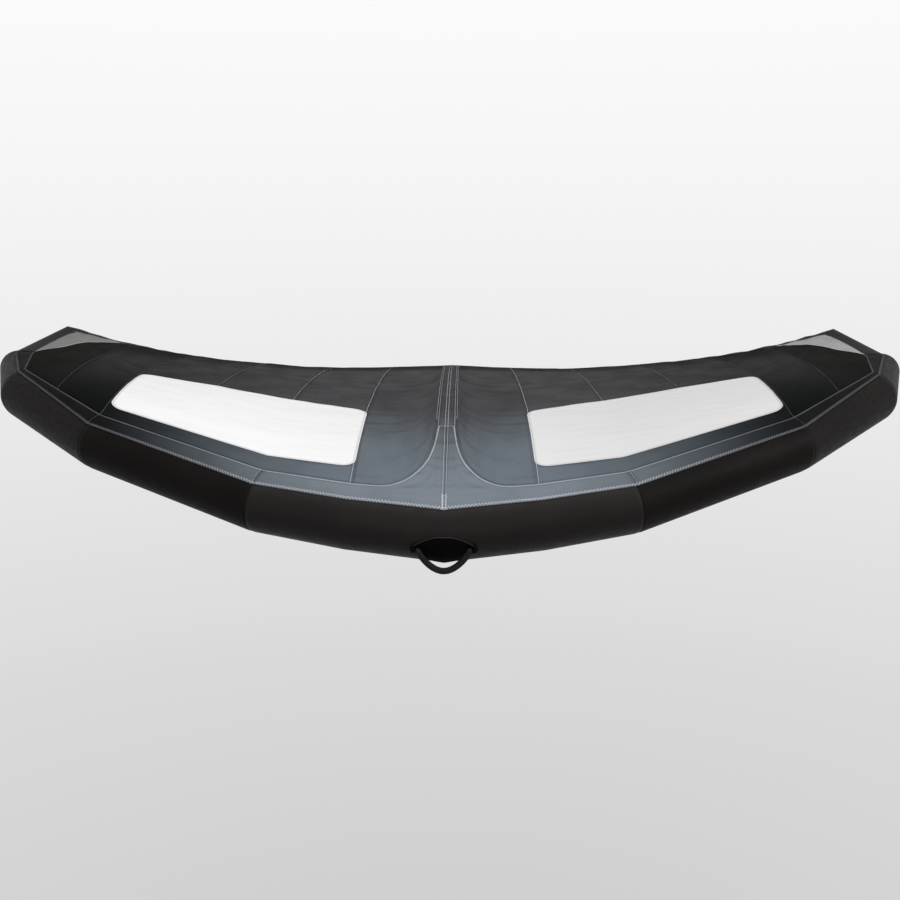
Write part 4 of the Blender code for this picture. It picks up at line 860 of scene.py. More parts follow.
def dress_tube(name, rings, finish=dacron):
    """A length of tube, standing for the model's casing of the same name."""
    piece = lay_grid(name + "_cloth", rings)
    outwards(piece, weld=True)
    thicken(piece, 0.0010, -1)
    belongs(piece, finish, stands_for=[name])
    return piece


middle = tube_rings((0, 1, 2))
casings = [dress_tube("le_casing_centre", mirrored(middle[:0:-1]) + middle, lit_middle_dacron)]
for side, word in SIDES:
    for stretch, i in (("mid", 2), ("outer", 3), ("tip", 4)):
        rings = tube_rings((i, i + 1), dome=stretch == "tip")
        if side < 0:
            rings = mirrored(rings[::-1])
        casings.append(dress_tube(f"le_casing_{stretch}_{word}", rings))
print("front tube:", {o.name: len(o.data.polygons) for o in casings})

# %% [markdown]
# ## Canopy panels
# All panels are cut and laid with the same few words: where the columns stand, and the seam line in
# front and behind. A slow, uneven ripple is added to the height, stronger towards the trailing edge
# where nothing holds the cloth down. It depends on the place alone, so neighbours share it.

# %% Ripples, and one panel
def ripple_height(x, y, front, chord, film_like=False):
    """Small waves in taut cloth: long across the span and short along the chord."""
    back_share = min(max((y - front) / chord, 0), 1) if chord > 0.05 else 0
    calm = min(max(back_share * 6, 0), 1)
    slow = noise.noise((x * 3.1, y * 7.0, 1.7))
    long_waves = noise.noise((x * 2.2 + y * 1.5, y * 24.0, 4.2))
    late = max(0.0, (back_share - 0.55) / 0.45)
    height = 0.0014 * slow * calm + 0.0060 * long_waves * late**1.5
    if film_like:
        height += 0.0010 * noise.noise((x * 7.0, y * 46.0, 9.1))
    return height


def fine_columns(first, last, pitch, dense=()):
    """Places from first to last about a pitch apart, with extra ones near the dense spots."""
    spots = set(steps(first, last, max(int(math.ceil((last - first) / pitch)), 1)))
    for centre in dense:
        for reach in (0.0, 0.002, 0.005, 0.009, 0.014, 0.020, 0.027, 0.036, 0.045):
            spots.update((centre - reach, centre + reach))
    ordered = sorted(x for x in spots if first - 1e-9 <= x <= last + 1e-9)
    kept = [first]
    for x in ordered:
        if x - kept[-1] > 0.0012 and last - x > 0.0012:
            kept.append(x)
    return kept + [last]


def panel_points(xs, front, back, pitch, film_like=False, side=1):
    """Columns of points between two seam lines."""
    rows = max(int(math.ceil(max(back(x) - front(x) for x in xs) / pitch)), 1)
    columns = []
    for x in xs:
        leave = along_line(LEAVE_LINE, x).y
        chord = trailing(x).y - leave
        column = []
        for y in steps(front(x), back(x), rows):
            point = cloth_point(x, y)
            point.z += ripple_height(x * side, y, leave, chord, film_like)
            column.append(point)
        columns.append(column)
    return columns


def dress_panel(name, columns, finish, wall=0.0008, side=1):
    """A laid panel, standing for the model's node of the same name."""
    piece = lay_grid(name + "_cloth", columns if side > 0 else mirrored(columns))
    across, along, area = cloth_size(piece)
    if side < 0:
        bpy.ops.object.mode_set(mode="EDIT")
        bpy.ops.mesh.select_all(action="SELECT")
        bpy.ops.mesh.flip_normals()
        bpy.ops.object.mode_set(mode="OBJECT")
    thicken(piece, wall, 1)
    belongs(piece, finish, stands_for=[name])
    across = min(across, area / (0.6 * along))
    return piece


print("panel helpers ready")

# %% Cut and lay the panels
PITCH, FINE = 0.016, 0.009
OUTER_END, TIP_BEND = HEM_FRONT.x - 0.0018, STRIP_LINE[4].x
PATCH_IN, PATCH_OUT = PATCH_X + 0.0018, HEM_FRONT.x - 0.0006
CUTS = {
    "canopy_inner": (BAND, S1, FINE, (), scoop_back, hem_inner, rear_cloth, "ripstop_slate"),
    "canopy_front": (S1, S4, PITCH, (S1, S4), strip_back, window_front, front_cloth, "ripstop_dark"),
    "canopy_rear_a": (S1, S2, PITCH, (S1,), window_back, hem_inner, rear_cloth, "ripstop_slate"),
    "canopy_rear_b": (S2, S3, PITCH, (), window_back, hem_inner, rear_cloth, "ripstop_dark"),
    "canopy_rear_c": (S3, S4, PITCH, (S4,), window_back, hem_inner, rear_cloth, "ripstop_dark"),
    "canopy_outer_a": (S4, S5, PITCH, (), strip_back, hem_inner, outer_cloth, "ripstop_dark"),
    "canopy_outer_b": (S5, OUTER_END, FINE, (TIP_BEND,), strip_back, outer_back, outer_cloth, "ripstop_dark"),
    "tip_patch": (PATCH_IN, PATCH_OUT, 0.008, (CORNER_X,), patch_front, hem_inner, pale, "silver_cloth"),
    "window": (S1, S4, 0.011, (S1, S4), window_front, window_back, film, "film"),
}
for side, word in SIDES:
    for cut, (first, last, pitch, dense, front, back, finish, slot) in CUTS.items():
        filmy = cut == "window"
        xs = fine_columns(first, last, pitch, dense)
        points = panel_points(xs, front, back, FINE if filmy else PITCH, filmy, side)
        wall = 0.0005 if filmy else 0.0008
        dress_panel(f"{cut}_{word}", points, finish, wall, side)
print("panels laid:", len(CUTS) * 2)

# %% [markdown]
# ## Front cloth and strips
# In front, the canopy wraps forward over the tube and is sewn down along a bold zigzag. The middle
# piece is one scoop-shaped cloth that narrows back along the strut. Further out, a strip covers the
# tube between each pair of cuts.

# %% The scoop, the band and the strips
NECK_SHARES = (0.01, 0.02, 0.03, 0.045, 0.07, 0.095)


def scoop_columns(side):
    xs = fine_columns(0.0, S2, 0.011, (BAND,))
    xs = sorted(set(xs) | {BAND + (S1 - BAND) * share for share in NECK_SHARES})
    rows = int(math.ceil(max(scoop_back(x) - along_line(LEAVE_LINE, x).y for x in xs) / 0.014))
    columns = []
    for x in xs:
        tube_x = BENDS[2].x * x / S2
        column = [tube_at(tube_x, degrees, LIFT) for degrees in steps(45, 12, 8)]
        leave = column[-1].copy()
        chord = trailing(x).y - leave.y
        for share in steps(0, 1, rows)[1:]:
            y = leave.y + (scoop_back(x) - leave.y) * share
            point = cloth_point(leave.x + (x - leave.x) * share, y)
            point.z += ripple_height(x * side, y, leave.y, chord)
            column.append(point)
        columns.append(column)
    return columns


def strip_columns(i):
    columns = []
    for share in steps(0, 1, max(int((BENDS[i + 1] - BENDS[i]).length / 0.018), 4)):
        seam = SEAM_ANGLES[i] + (SEAM_ANGLES[i + 1] - SEAM_ANGLES[i]) * share
        leave = LEAVE_ANGLES[i] + (LEAVE_ANGLES[i + 1] - LEAVE_ANGLES[i]) * share
        column = [cone_point(i, share, degrees, LIFT) for degrees in steps(seam, leave, 8)]
        back = STRIP_LINE[i].lerp(STRIP_LINE[i + 1], share)
        start = column[-1].copy()
        for part in steps(0, 1, 4)[1:]:
            x, y = start.x + (back.x - start.x) * part, start.y + (back.y - start.y) * part
            column.append(cloth_point(x, y))
        columns.append(column)
    return columns


for side, word in SIDES:
    dress_panel(f"canopy_scoop_{word}", scoop_columns(side), scoop_cloth, side=side)
    for i, stretch in ((2, "mid"), (3, "outer"), (4, "tip")):
        name = f"le_strip_{stretch}_{word}"
        dress_panel(name, strip_columns(i), strip_cloth, side=side)
band = []
for x in steps(-BAND, BAND, 6):
    column = []
    for y in steps(scoop_back(abs(x)), hem_inner(abs(x)), 100):
        point = cloth_point(abs(x), y)
        point.x = x
        point.z += ripple_height(x, y, LEAVE_LINE[0].y, TRAIL_Y)
        column.append(point)
    band.append(column)
dress_panel("canopy_band", band, band_cloth)
print("front cloth laid")

# %% The hem round the trailing edge and the tip
def hem_columns(side):
    columns = []
    for x in fine_columns(0.0, CORNER_X, 0.014, (CORNER_X,)):
        inner, outer = hem_inner(x), trailing(x).y
        leave = along_line(LEAVE_LINE, x).y
        column = []
        for share in steps(0, 1, 3):
            y = inner + (outer - inner) * share
            point = cloth_point(x, y)
            point.z += ripple_height(x * side, y, leave, outer - leave)
            column.append(point)
        columns.append(column)
    corner = Vector((CORNER_X, hem_inner(CORNER_X), 0))
    for share in steps(0, 1, 26):
        inner, outer = corner.lerp(HEM_FRONT, share), TIP.lerp(HEM_END, share)
        inner = cloth_point(inner.x, inner.y)
        middle_point = inner.lerp(outer, 0.5)
        middle_point.z = max(middle_point.z, tube_top(middle_point.x, middle_point.y) + LIFT)
        columns.append([inner, inner.lerp(middle_point, 0.66), middle_point.lerp(outer, 0.33), outer])
    return columns


for side, word in SIDES:
    dress_panel("edge_hem_" + word, hem_columns(side), hem_tape, side=side)
print("hem laid")

# %% [markdown]
# ## The centre strut
# A slimmer tube hangs under the middle of the canopy and keeps its arch. It runs into the back of
# the front tube, where the two are sewn together, tapers towards the trailing edge and ends in a
# small round cap. It is laid the same way as the front tube, with a lap seam near each end.

# %% Lay the strut
STRUT_FRONT, STRUT_BACK, CAP_LENGTH = 0.062, 1.90, 0.0405
STRUT_WIDE, STRUT_SLIM, TAPER_FROM = 0.058, 0.042, 0.055
SEAM_DEPTH, SEAM_REACH = 0.0014, 0.006


def strut_radius(y):
    return STRUT_WIDE + (STRUT_SLIM - STRUT_WIDE) * (y - TAPER_FROM) / (STRUT_BACK - TAPER_FROM)


def strut_skin(y, degrees, lift, below=0.0010):
    """A point on the strut, degrees from its bottom. The strut hangs a little below the cloth."""
    centre = cloth_point(0, y).z - below - strut_radius(y)
    turn = math.radians(degrees)
    reach = strut_radius(y) + lift
    return Vector((math.sin(turn) * reach, y, centre - math.cos(turn) * reach))


def strut_ring(y, dent):
    """A ring of the strut's wall, pulled in by dent."""
    return [strut_skin(y, degrees, -dent, 0.0016) for degrees in steps(0, 360, 64)]


def ring_middle(ring):
    """The centre of a ring whose last point repeats its first."""
    return sum(ring[:-1], Vector()) / (len(ring) - 1)


near_seam = {STRUT_BACK - near for near in (0.003, 0.006, 0.010, 0.016)}
casing_rings = []
for y in sorted(near_seam.union(steps(STRUT_FRONT, STRUT_BACK, 90))):
    casing_rings.append(strut_ring(y, SEAM_DEPTH * math.exp(-(((STRUT_BACK - y) / SEAM_REACH) ** 2))))
strut = dress_tube("strut_casing", casing_rings)
last = strut_ring(STRUT_BACK, SEAM_DEPTH)
cap_angles = (6, 14, 24, 35, 46, 57, 68, 78, 84, 90)
cap_rings = [last] + dome_rings(last, ring_middle(last), Vector((0, CAP_LENGTH, 0)), cap_angles)
strut_cap = dress_tube("strut_end_cap", cap_rings)
print("strut", len(strut.data.polygons), "cap", len(strut_cap.data.polygons))

# %% [markdown]
# ## Finishes for the small parts
# The small hard parts keep their solid model's shape. Each gets the surface of what it is made from:
# moulded plastic, rubber or plain metal. The hose and the air tubes take silicone and thin film from
# the same list.

# %% Finishes for small parts
SPREAD = 0.12


def small_finish(name, colour, roughness, grain, depth, **sockets):
    """A plain material with a fine grain and a slow change of tone."""
    made = Finish(name, colour, roughness, **sockets)
    where = made.place()
    tone = made.noise(where, 22.0, 3.0)
    dark, light = tuple(0.75 * c for c in colour), tuple(min(1.35 * c, 1) for c in colour)
    made.set("Base Color", made.mix(made.ramp(tone, 0.3, 0.7), dark, light))
    smooth, rough = max(roughness - SPREAD / 2, 0.05), roughness + SPREAD / 2
    made.set("Roughness", made.ramp(tone, 0.25, 0.75, smooth, rough))
    made.bump(made.noise(where, grain, 2.0), depth, 0.6)
    return made.material


FINISHES = {
    "valve_plastic": small_finish("valve_plastic", (0.028, 0.028, 0.030), 0.38, 800.0, 0.0001),
    "seal_rubber": small_finish("seal_rubber", (0.30, 0.30, 0.31), 0.6, 600.0, 0.0002),
    "hose_silicone": small_finish(
        "hose_silicone", (0.46, 0.48, 0.49), 0.35, 200.0, 0.0002, Subsurface_Weight=0.1
    ),
    "clamp_plastic": small_finish("clamp_plastic", (0.68, 0.69, 0.70), 0.3, 800.0, 0.0001),
    "bladder_film": small_finish("bladder_film", (0.60, 0.64, 0.64), 0.25, 60.0, 0.0010, Alpha=0.6),
    "slider_metal": small_finish("slider_metal", (0.45, 0.45, 0.46), 0.32, 500.0, 0.0001, Metallic=1.0),
}
print("small finishes:", sorted(FINISHES))

# %% [markdown]
# ## Webbing
# Straps are woven from thick yarn, so they show fine ribs across their width and a firm edge. The
# ribs are a wave along the strap, written in the piece's own map. Each strap is laid as a grid
# along its path, five points wide, and then given its thickness.

# %% Webbing finish
YARN = 0.0028


def webbing_finish(name, colour, rows, ribs=0.0022):
    made = Finish(name, colour, 0.62, Specular_IOR_Level=0.25)
    uv = made.cloth()
    cells = made.node("SeparateXYZ", {0: made.mapping(uv, (1 / YARN, 1 / ribs, 1))})
    rib = made.calc("PINGPONG", cells.outputs["Y"], 0.5)
    yarn = made.calc("PINGPONG", cells.outputs["X"], 0.5)
    weave = made.calc("MULTIPLY_ADD", rib, 1.4, yarn)
    tone = made.noise(made.mapping(uv, (40, 25, 1)), 1.0, 3.0)
    paler = tuple(2.2 * c for c in colour)
    shade = made.mix(made.ramp(weave, 0.2, 1.1, 0.0, 0.6), colour, paler)
    shade = made.mix(made.ramp(tone, 0.35, 0.7, 0.0, 0.4), shade, tuple(0.5 * c for c in colour))
    thread = stitching(made, rows)[0]
    made.set("Base Color", made.mix(made.calc("MULTIPLY", thread, 0.5), shade, THREAD_DULL))
    made.bump(made.calc("MULTIPLY_ADD", thread, 0.6, weave), 0.0007, 0.8)
    return made.material


STRAP_ROWS = [(edge, 0.003, 0, 0.006) for edge in ("inner", "outer", "front", "back")]
web = webbing_finish("strap_webbing", (0.012, 0.012, 0.013), STRAP_ROWS)
print("webbing ready")

# %% Helpers: a smooth path, a flat strap along it, and a round piece along it
def smooth_path(points, per=6):
    """A rounder run through the points, a few steps between each pair."""
    points = [Vector(p) for p in points]
    ends = [2 * points[0] - points[1]] + points + [2 * points[-1] - points[-2]]
    run = []
    for a, b, c, d in zip(ends, ends[1:], ends[2:], ends[3:]):
        for t in steps(0, 1, per)[:-1]:
            pull_in, pull_out = (c - a) / 4, (d - b) / 4
            h = 3 * t**2 - 2 * t**3
            run.append(b * (1 - h) + c * h + pull_in * (t**3 - 2 * t**2 + t) + pull_out * (t**3 - t**2))
    return run + [points[-1]]


def strap(name, path, across, wall, finish, body, stands_for=()):
    """A flat strap of width 2 * across, centred on its path."""
    across = Vector(across)
    columns = [[p + across * share for p in path] for share in steps(-1, 1, 4)]
    piece = lay_grid(name, columns)
    thicken(piece, wall, 0)
    outwards(piece)
    return belongs(piece, finish, body, stands_for)


def round_rings(path, radius_at, around, side, closed_ends=True):
    """Rings square to a path. radius_at(share, turn) gives the radius at a share of the path."""
    side = Vector(side)
    rings = []
    for k, place in enumerate(path):
        run = (path[min(k + 1, len(path) - 1)] - path[max(k - 1, 0)]).normalized()
        first = (side - run * side.dot(run)).normalized()
        second = run.cross(first)
        share = k / (len(path) - 1)
        ring = []
        for turn in steps(0, 2 * math.pi, around):
            out = first * math.cos(turn) + second * math.sin(turn)
            ring.append(place + out * radius_at(share, turn))
        rings.append(ring)
    if closed_ends:
        start, end = path[0], path[-1]
        rings = [[start] * (around + 1)] + rings + [[end] * (around + 1)]
    return rings


def round_piece(name, rings, finish, body, stands_for=()):
    """A closed round piece from its rings."""
    piece = lay_grid(name, rings)
    outwards(piece, weld=True)
    return belongs(piece, finish, body, stands_for)


print("strap and round helpers ready")

# %% [markdown]
# ## The handle under the front tube
# A short bail of dense foam hangs in the middle, for carrying the wing. Fine grooves run along it.
# Its two ends sit between small sewn tabs, at the corners of an eye-shaped pad of stretch fabric. A
# raised piping follows the pad's upper edge. The bail is laid as rings along its curve, and the
# grooves are a ripple in the ring's radius.

# %% The bail
BAIL_MIDDLE = Vector((0, -0.09509, -0.03842))
BAIL_SPAN, BAIL_DROP, BAIL_END, BAIL_RADIUS = 0.070, 0.057, 0.0767, 0.0090
BAIL_ANGLE = 112


def bail_radius(share, turn):
    """Grooved all round, a little slimmer towards the ends, and rounded off at them."""
    reach = abs(2 * share - 1)
    rounded = math.sqrt(max(1 - max((reach - 0.985) / 0.015, 0) ** 2, 0.05))
    return BAIL_RADIUS * rounded * (1 - 0.10 * reach**6) * (1 + 0.035 * math.cos(10 * turn) - 0.035)


bail_places = [(-BAIL_END, 0), (-BAIL_END + 0.001, 0)]
for share in steps(-1, 1, 56):
    bail_places.append((BAIL_SPAN * share, -BAIL_DROP * abs(math.cos(share * math.pi / 2)) ** 0.8))
bail_places += [(BAIL_END - 0.001, 0), (BAIL_END, 0)]
bail_path = [BAIL_MIDDLE + Vector((x, 0, z)) for x, z in bail_places]
foam = Finish("handle_foam", (0.006, 0.0055, 0.0055), 0.55, Specular_IOR_Level=0.16)
foam_uv = foam.cloth()
foam_cells = foam.noise(foam_uv, 1400.0, 2.0)
foam_lines = foam.noise(foam.mapping(foam_uv, (40, 900, 1)), 1.0, 2.0)
foam_tone = foam.noise(foam.mapping(foam_uv, (30, 60, 1)), 1.0, 3.0)
foam_dark, foam_light = (0.0035, 0.0030, 0.0030), (0.0090, 0.0080, 0.0080)
foam.set("Base Color", foam.mix(foam.ramp(foam_tone, 0.3, 0.7), foam_dark, foam_light))
foam.set("Roughness", foam.ramp(foam_tone, 0.3, 0.75, 0.45, 0.65))
foam.bump(foam.calc("MULTIPLY_ADD", foam_lines, 0.7, foam_cells), 0.0005, 0.7)
bail_rings = round_rings(bail_path, bail_radius, 60, (0, 1, 0))
bail = round_piece("handle_bail", bail_rings, foam.material, "le_handle", ["le_handle"])
print("bail", len(bail.data.polygons), "faces")

# %% Knitted fabric
def knitted(name, shades, roughness, shine, stitches, turn, patches, start, depth):
    """A fine knit of so many stitches to the metre. Its tone goes from the second shade to the third."""
    made = Finish(name, shades[0], roughness, Specular_IOR_Level=shine)
    uv = made.cloth()
    cells = made.node("SeparateXYZ", {0: made.mapping(uv, (stitches, stitches, 1), turn)})
    waves = [made.calc("PINGPONG", cells.outputs[k], 0.5) for k in ("X", "Y")]
    tone = made.noise(made.mapping(uv, patches), 1.0, 3.0)
    made.set("Base Color", made.mix(made.ramp(tone, start, 0.7), shades[1], shades[2]))
    made.bump(made.calc("MULTIPLY", *waves), depth, 0.8)
    return made.material


PAD_SHADES = ((0.002, 0.0016, 0.0014), (0.0014, 0.0011, 0.0009), (0.0042, 0.0032, 0.0026))
knit = knitted("pad_fabric", PAD_SHADES, 0.85, 0.05, 620, 0.6, (60, 60, 1), 0.35, 0.0009)
print("knit of the pad:", knit.name)

# %% The eye-shaped pad
PAD_HALF = 0.0875
PAD_MIDDLE, PAD_UP, PAD_DOWN, PAD_BLUNT = 116, 26, 36, 0.16


def eye_angle(share, part):
    """Degrees round the tube, for a share of the pad's length and a part of its height."""
    swell = max(1 - share**2, PAD_BLUNT)
    return PAD_MIDDLE - PAD_UP * swell + (PAD_UP + PAD_DOWN) * swell * part


def mirrored_x(point, x):
    """The point, moved to the side of the middle that x is on."""
    return Vector((math.copysign(point.x, x), point.y, point.z))


pad_columns = []
for share in steps(-1, 1, 48):
    x = PAD_HALF * share
    column = []
    for part in steps(0, 1, 18):
        edge = min(part, 1 - part) * 2
        crown = 0.0009 * max(0.0, 1 - (x / 0.048) ** 2) * math.sin(math.pi * part)
        rise = LIFT + 0.0006 + 0.0008 * min(edge * 5, 1) ** 0.5 + crown
        column.append(mirrored_x(tube_at(abs(x), eye_angle(share, part), rise), x))
    pad_columns.append(column)
pad = lay_grid("handle_pad", pad_columns)
thicken(pad, 0.0007, -1)
outwards(pad)
belongs(pad, knit, stands_for=["le_handle_patch"])
print("pad", len(pad.data.polygons), "faces")

# %% Its piping
PIPING_RADIUS = 0.0016
cord_finish = Finish("piping", (0.012, 0.011, 0.012), 0.45, Specular_IOR_Level=0.25)
twist = cord_finish.noise(cord_finish.mapping(cord_finish.cloth(), (300, 700, 1), 0.5), 1.0, 2.0)
cord_finish.set("Base Color", cord_finish.mix(twist, (0.0070, 0.0062, 0.0066), (0.022, 0.020, 0.021)))
cord_finish.bump(twist, 0.0005, 0.8)
piping_path = []
for share in steps(-0.97, 0.97, 60):
    x = PAD_HALF * share
    piping_path.append(mirrored_x(tube_at(abs(x), eye_angle(share, 0) - 0.6, LIFT + PIPING_RADIUS), x))
piping_rings = round_rings(piping_path, lambda share, turn: PIPING_RADIUS, 12, (0, 0, 1))
piping = round_piece("handle_pad_piping", piping_rings, cord_finish.material, "wing")
print("piping", len(piping.data.polygons), "faces")

# %% The tabs that hold the bail's ends
TAB, TAB_GAP, TAB_WIDE, TAB_PAST_BAIL = 0.007, 0.0003, 0.0155, 0.008
bail_out = ring_point(0, BAIL_ANGLE).normalized()
for side in (-1, 1):
    x = side * (BAIL_SPAN + TAB + TAB_GAP + TAB / 2)
    base = mirrored_x(tube_at(abs(x), BAIL_ANGLE, LIFT + 0.0007), x)
    height = (BAIL_MIDDLE - base).dot(bail_out) + TAB_PAST_BAIL
    deselect()
    bpy.ops.mesh.primitive_cube_add(size=1)
    tab = bpy.context.object
    tab.name = tab.data.name = "handle_tab_right" if side > 0 else "handle_tab_left"
    bpy.ops.object.mode_set(mode="EDIT")
    bpy.ops.mesh.subdivide(number_cuts=3)
    bpy.ops.transform.resize(value=(TAB - 0.0004, TAB_WIDE, height))
    bpy.ops.object.mode_set(mode="OBJECT")
    for spot in tab.data.vertices:
        lean = (0.5 - abs(spot.co.z / height)) if spot.co.z > 0 else 0.5
        spot.co.y *= 0.72 + 0.56 * lean
    soft = tab.modifiers.new("soft", "BEVEL")
    soft.width, soft.segments = 0.0012, 2
    bpy.ops.object.modifier_apply(modifier=soft.name)
    across = Vector((1, 0, 0))
    turn = Matrix((across, bail_out.cross(across), bail_out)).transposed().to_4x4()
    tab.data.transform(Matrix.Translation(base + bail_out * height / 2 + Vector(TO_WORLD)) @ turn)
    tab.data.update()
    belongs(tab, knit)
print("tabs stand", round(height, 4), "m high")

# %% [markdown]
# ## The strut's two handles
# Each hand loop is a strap that leaves a sewn foot, drops at an angle, runs through a padded grip
# and comes back up to the second foot. A patch under the strut spreads the pull. The grip is foam
# with a fabric skin: thickest in the middle, pulled in at both ends, with one seam along its back.

# %% Patches under the strut
SADDLE_HALF, SADDLE_DEGREES, SADDLE_CORNER = 0.150, 45, 0.80


def lay_saddle(name, middle_y):
    """A patch whose corners are cut off, thinner along its edges than in its middle."""
    columns = []
    for share in steps(-1, 1, 24):
        column = []
        for run in steps(-1, 1, 60):
            pinch = 1 - max(abs(run) - SADDLE_CORNER, 0) / (1 - SADDLE_CORNER) * 0.30
            lift = 0.0008 + 0.0008 * min((1 - abs(share)) * 6, (1 - abs(run)) * 25, 1)
            degrees = SADDLE_DEGREES * share * pinch
            column.append(strut_skin(middle_y + SADDLE_HALF * run, degrees, lift))
        columns.append(column)
    piece = lay_grid(name + "_patch_cloth", columns)
    thicken(piece, 0.0009, 1)
    outwards(piece)
    return belongs(piece, patch_web, stands_for=[name + "_patch"])


patch_rows = STRAP_ROWS + [(edge, 0.008, 0, 0.006) for edge in ("inner", "outer")]
patch_web = webbing_finish("patch_cloth", (0.010, 0.010, 0.011), patch_rows, 0.0014)
saddles = [lay_saddle("front_handle", 0.50), lay_saddle("rear_handle", 1.10)]
print("patches", [len(p.data.polygons) for p in saddles])

# %% Straps and grips
# For each handle, the middle of its hinge line and the line's direction.
HANDLES = {
    "front_handle": (Vector((0, 0.5, 0.05526)), Vector((0, 0.99595, 0.08996))),
    "rear_handle": (Vector((0, 1.1, 0.06621)), Vector((0, 0.99964, -0.02675))),
}
HALF_SPAN, GRIP_DROP, GRIP_HALF, GRIP_RADIUS = 0.12, 0.058, 0.0647, 0.0163
STRAP_HALF, STRAP_WALL = 0.0124, 0.0023
DOWN = Vector((0, 0, -1))
SKIN_SHADES = ((0.010, 0.010, 0.011), (0.007, 0.007, 0.008), (0.020, 0.020, 0.022))
skin = knitted("grip_skin", SKIN_SHADES, 0.6, 0.3, 420, 0.785, (25, 40, 1), 0.3, 0.0010)


def strap_path(middle, along):
    """From one foot down to the grip, through it, and up to the other foot."""
    path = []
    for end in (-1, 1):
        run = along * end
        points = [
            run * (HALF_SPAN - 0.0003),
            run * (HALF_SPAN - 0.014),
            run * (HALF_SPAN - 0.020) + DOWN * 0.003,
            run * (GRIP_HALF + 0.012) + DOWN * (GRIP_DROP - 0.006),
            run * (GRIP_HALF + 0.006) + DOWN * (GRIP_DROP - 0.0015),
            run * (GRIP_HALF - 0.004) + DOWN * GRIP_DROP,
        ]
        path += points if end < 0 else points[::-1]
    return smooth_path([middle + p for p in path])


def grip_radius(share, turn):
    """Thickest in the middle, drawn in at the ends, with a seam and a slightly uneven skin."""
    reach = abs(2 * share - 1)
    end = math.sqrt(max(1 - (max(reach - 0.93, 0) / 0.07) ** 2, 0.36))
    seam = -0.0007 * math.exp(-((((turn - math.pi) / 0.10)) ** 2))
    crush = 0.00035 * noise.noise((share * 9, math.cos(turn) * 1.5, math.sin(turn) * 1.5))
    return (GRIP_RADIUS - 0.0012 * reach**2) * end + seam + crush


print("grip's middle is", GRIP_RADIUS * 2, "m across")

# %% The feet that the straps hang from
FOOT_DEPTH = 0.0058


def foot_ring(place, along, down):
    """One ring of a foot, from the strut's skin to a low edge by the hinge line. It leans with the line."""
    low = place + down
    wide = steps(-STRAP_HALF, STRAP_HALF, 6)
    upper = []
    for x in wide:
        turn = math.degrees(math.asin(x / strut_radius(low.y)))
        back = (strut_skin(low.y, turn, 0.0010).z - low.z) * along.z / along.y
        upper.append(strut_skin(low.y - back, turn, 0.0010))
    ring = upper + [Vector((x, low.y, low.z)) for x in wide[::-1]]
    return ring + [ring[0]]


def foot_rings(middle, along, sign):
    """Three rings, closed at both ends. A foot whose hinge end is above the middle stops short of it."""
    down = along.cross(Vector((1, 0, 0))) * FOOT_DEPTH
    rings = []
    for reach in (0.0004, 0.0064, 0.0118):
        place = middle + along * sign * (HALF_SPAN + reach)
        rings.append(foot_ring(place, along, down if (place + down).z <= middle.z else -down))
    first, last = ([ring_middle(ring)] * len(ring) for ring in (rings[0], rings[-1]))
    return [first] + rings + [last]


print("feet are", 2 * STRAP_HALF, "m wide")

# %% Hang both handles
for name, (middle, along) in HANDLES.items():
    path = strap_path(middle, along)
    strap(name + "_webbing", path, (STRAP_HALF, 0, 0), STRAP_WALL, web, name, [name + "_strap"])
    shares = sorted(steps(-1, 1, 46) + [-0.992, -0.975, 0.975, 0.992])
    grip_path = [middle + DOWN * GRIP_DROP + along * GRIP_HALF * share for share in shares]
    rings = round_rings(grip_path, grip_radius, 56, (1, 0, 0))
    grip = round_piece(name + "_padding", rings, skin, name, [name + "_grip"])
    for sign, word in ((-1, "fore"), (1, "aft")):
        foot = round_piece(f"{name}_foot_{word}", foot_rings(middle, along, sign), web, "wing")
        foot.data.shade_flat()
    print(name, "grip", len(grip.data.polygons), "faces")

# %% [markdown]
# ## Hose, zip and leash loop
# A short silicone hose carries air from the front tube to the strut. It leaves each port straight and
# bows out between them. The zip is a woven tape with a coil of teeth down its middle. One tooth is
# modelled and repeated along the tape. The leash loop is a strap with both feet sewn to the tube.

# %% The air hose
HOSE_DIAMETER, HOSE_WALL, HOSE_FLARE = 0.017, 0.0018, 0.03
PORT_X, PORT_ANGLE = 0.085, -125
STRUT_PORT_Y, STRUT_PORT_ANGLE = 0.27, 105
PORT_HEIGHT, STRAIGHT = 0.004, 0.012
le_port = tube_at(PORT_X, PORT_ANGLE, 0)
le_out = (le_port - BENDS[0].lerp(BENDS[1], PORT_X / BENDS[1].x)).normalized()
strut_port = strut_skin(STRUT_PORT_Y, STRUT_PORT_ANGLE, 0)
strut_middle = Vector((0, STRUT_PORT_Y, strut_skin(STRUT_PORT_Y, 90, 0).z))
strut_out = (strut_port - strut_middle).normalized()
hose_start, hose_end = le_port + le_out * PORT_HEIGHT, strut_port + strut_out * PORT_HEIGHT
pull = (hose_end - hose_start).length * 0.9
bow_start, bow_end = hose_start + le_out * STRAIGHT, hose_end + strut_out * STRAIGHT
hose_run = [hose_start]
for t in steps(0, 1, 26):
    keep = 1 - t
    hose_run.append(
        bow_start * keep**3
        + (bow_start + le_out * pull) * (3 * keep**2 * t)
        + (bow_end + strut_out * pull) * (3 * keep * t**2)
        + bow_end * t**3
    )
hose_run.append(hose_end)


def hose_radius(share, turn):
    """The hose widens a little over its last twentieth at both ends."""
    near_end = max(0, abs(2 * share - 1) - 0.9) * 10
    return HOSE_DIAMETER / 2 * (1 + HOSE_FLARE * near_end)


hose_rings = round_rings(hose_run, hose_radius, 28, (0, 0.3, 1), closed_ends=False)
hose = lay_grid("air_hose_tube", hose_rings)
outwards(hose, weld=True)
thicken(hose, HOSE_WALL, -1)
belongs(hose, FINISHES["hose_silicone"], stands_for=["air_hose"])

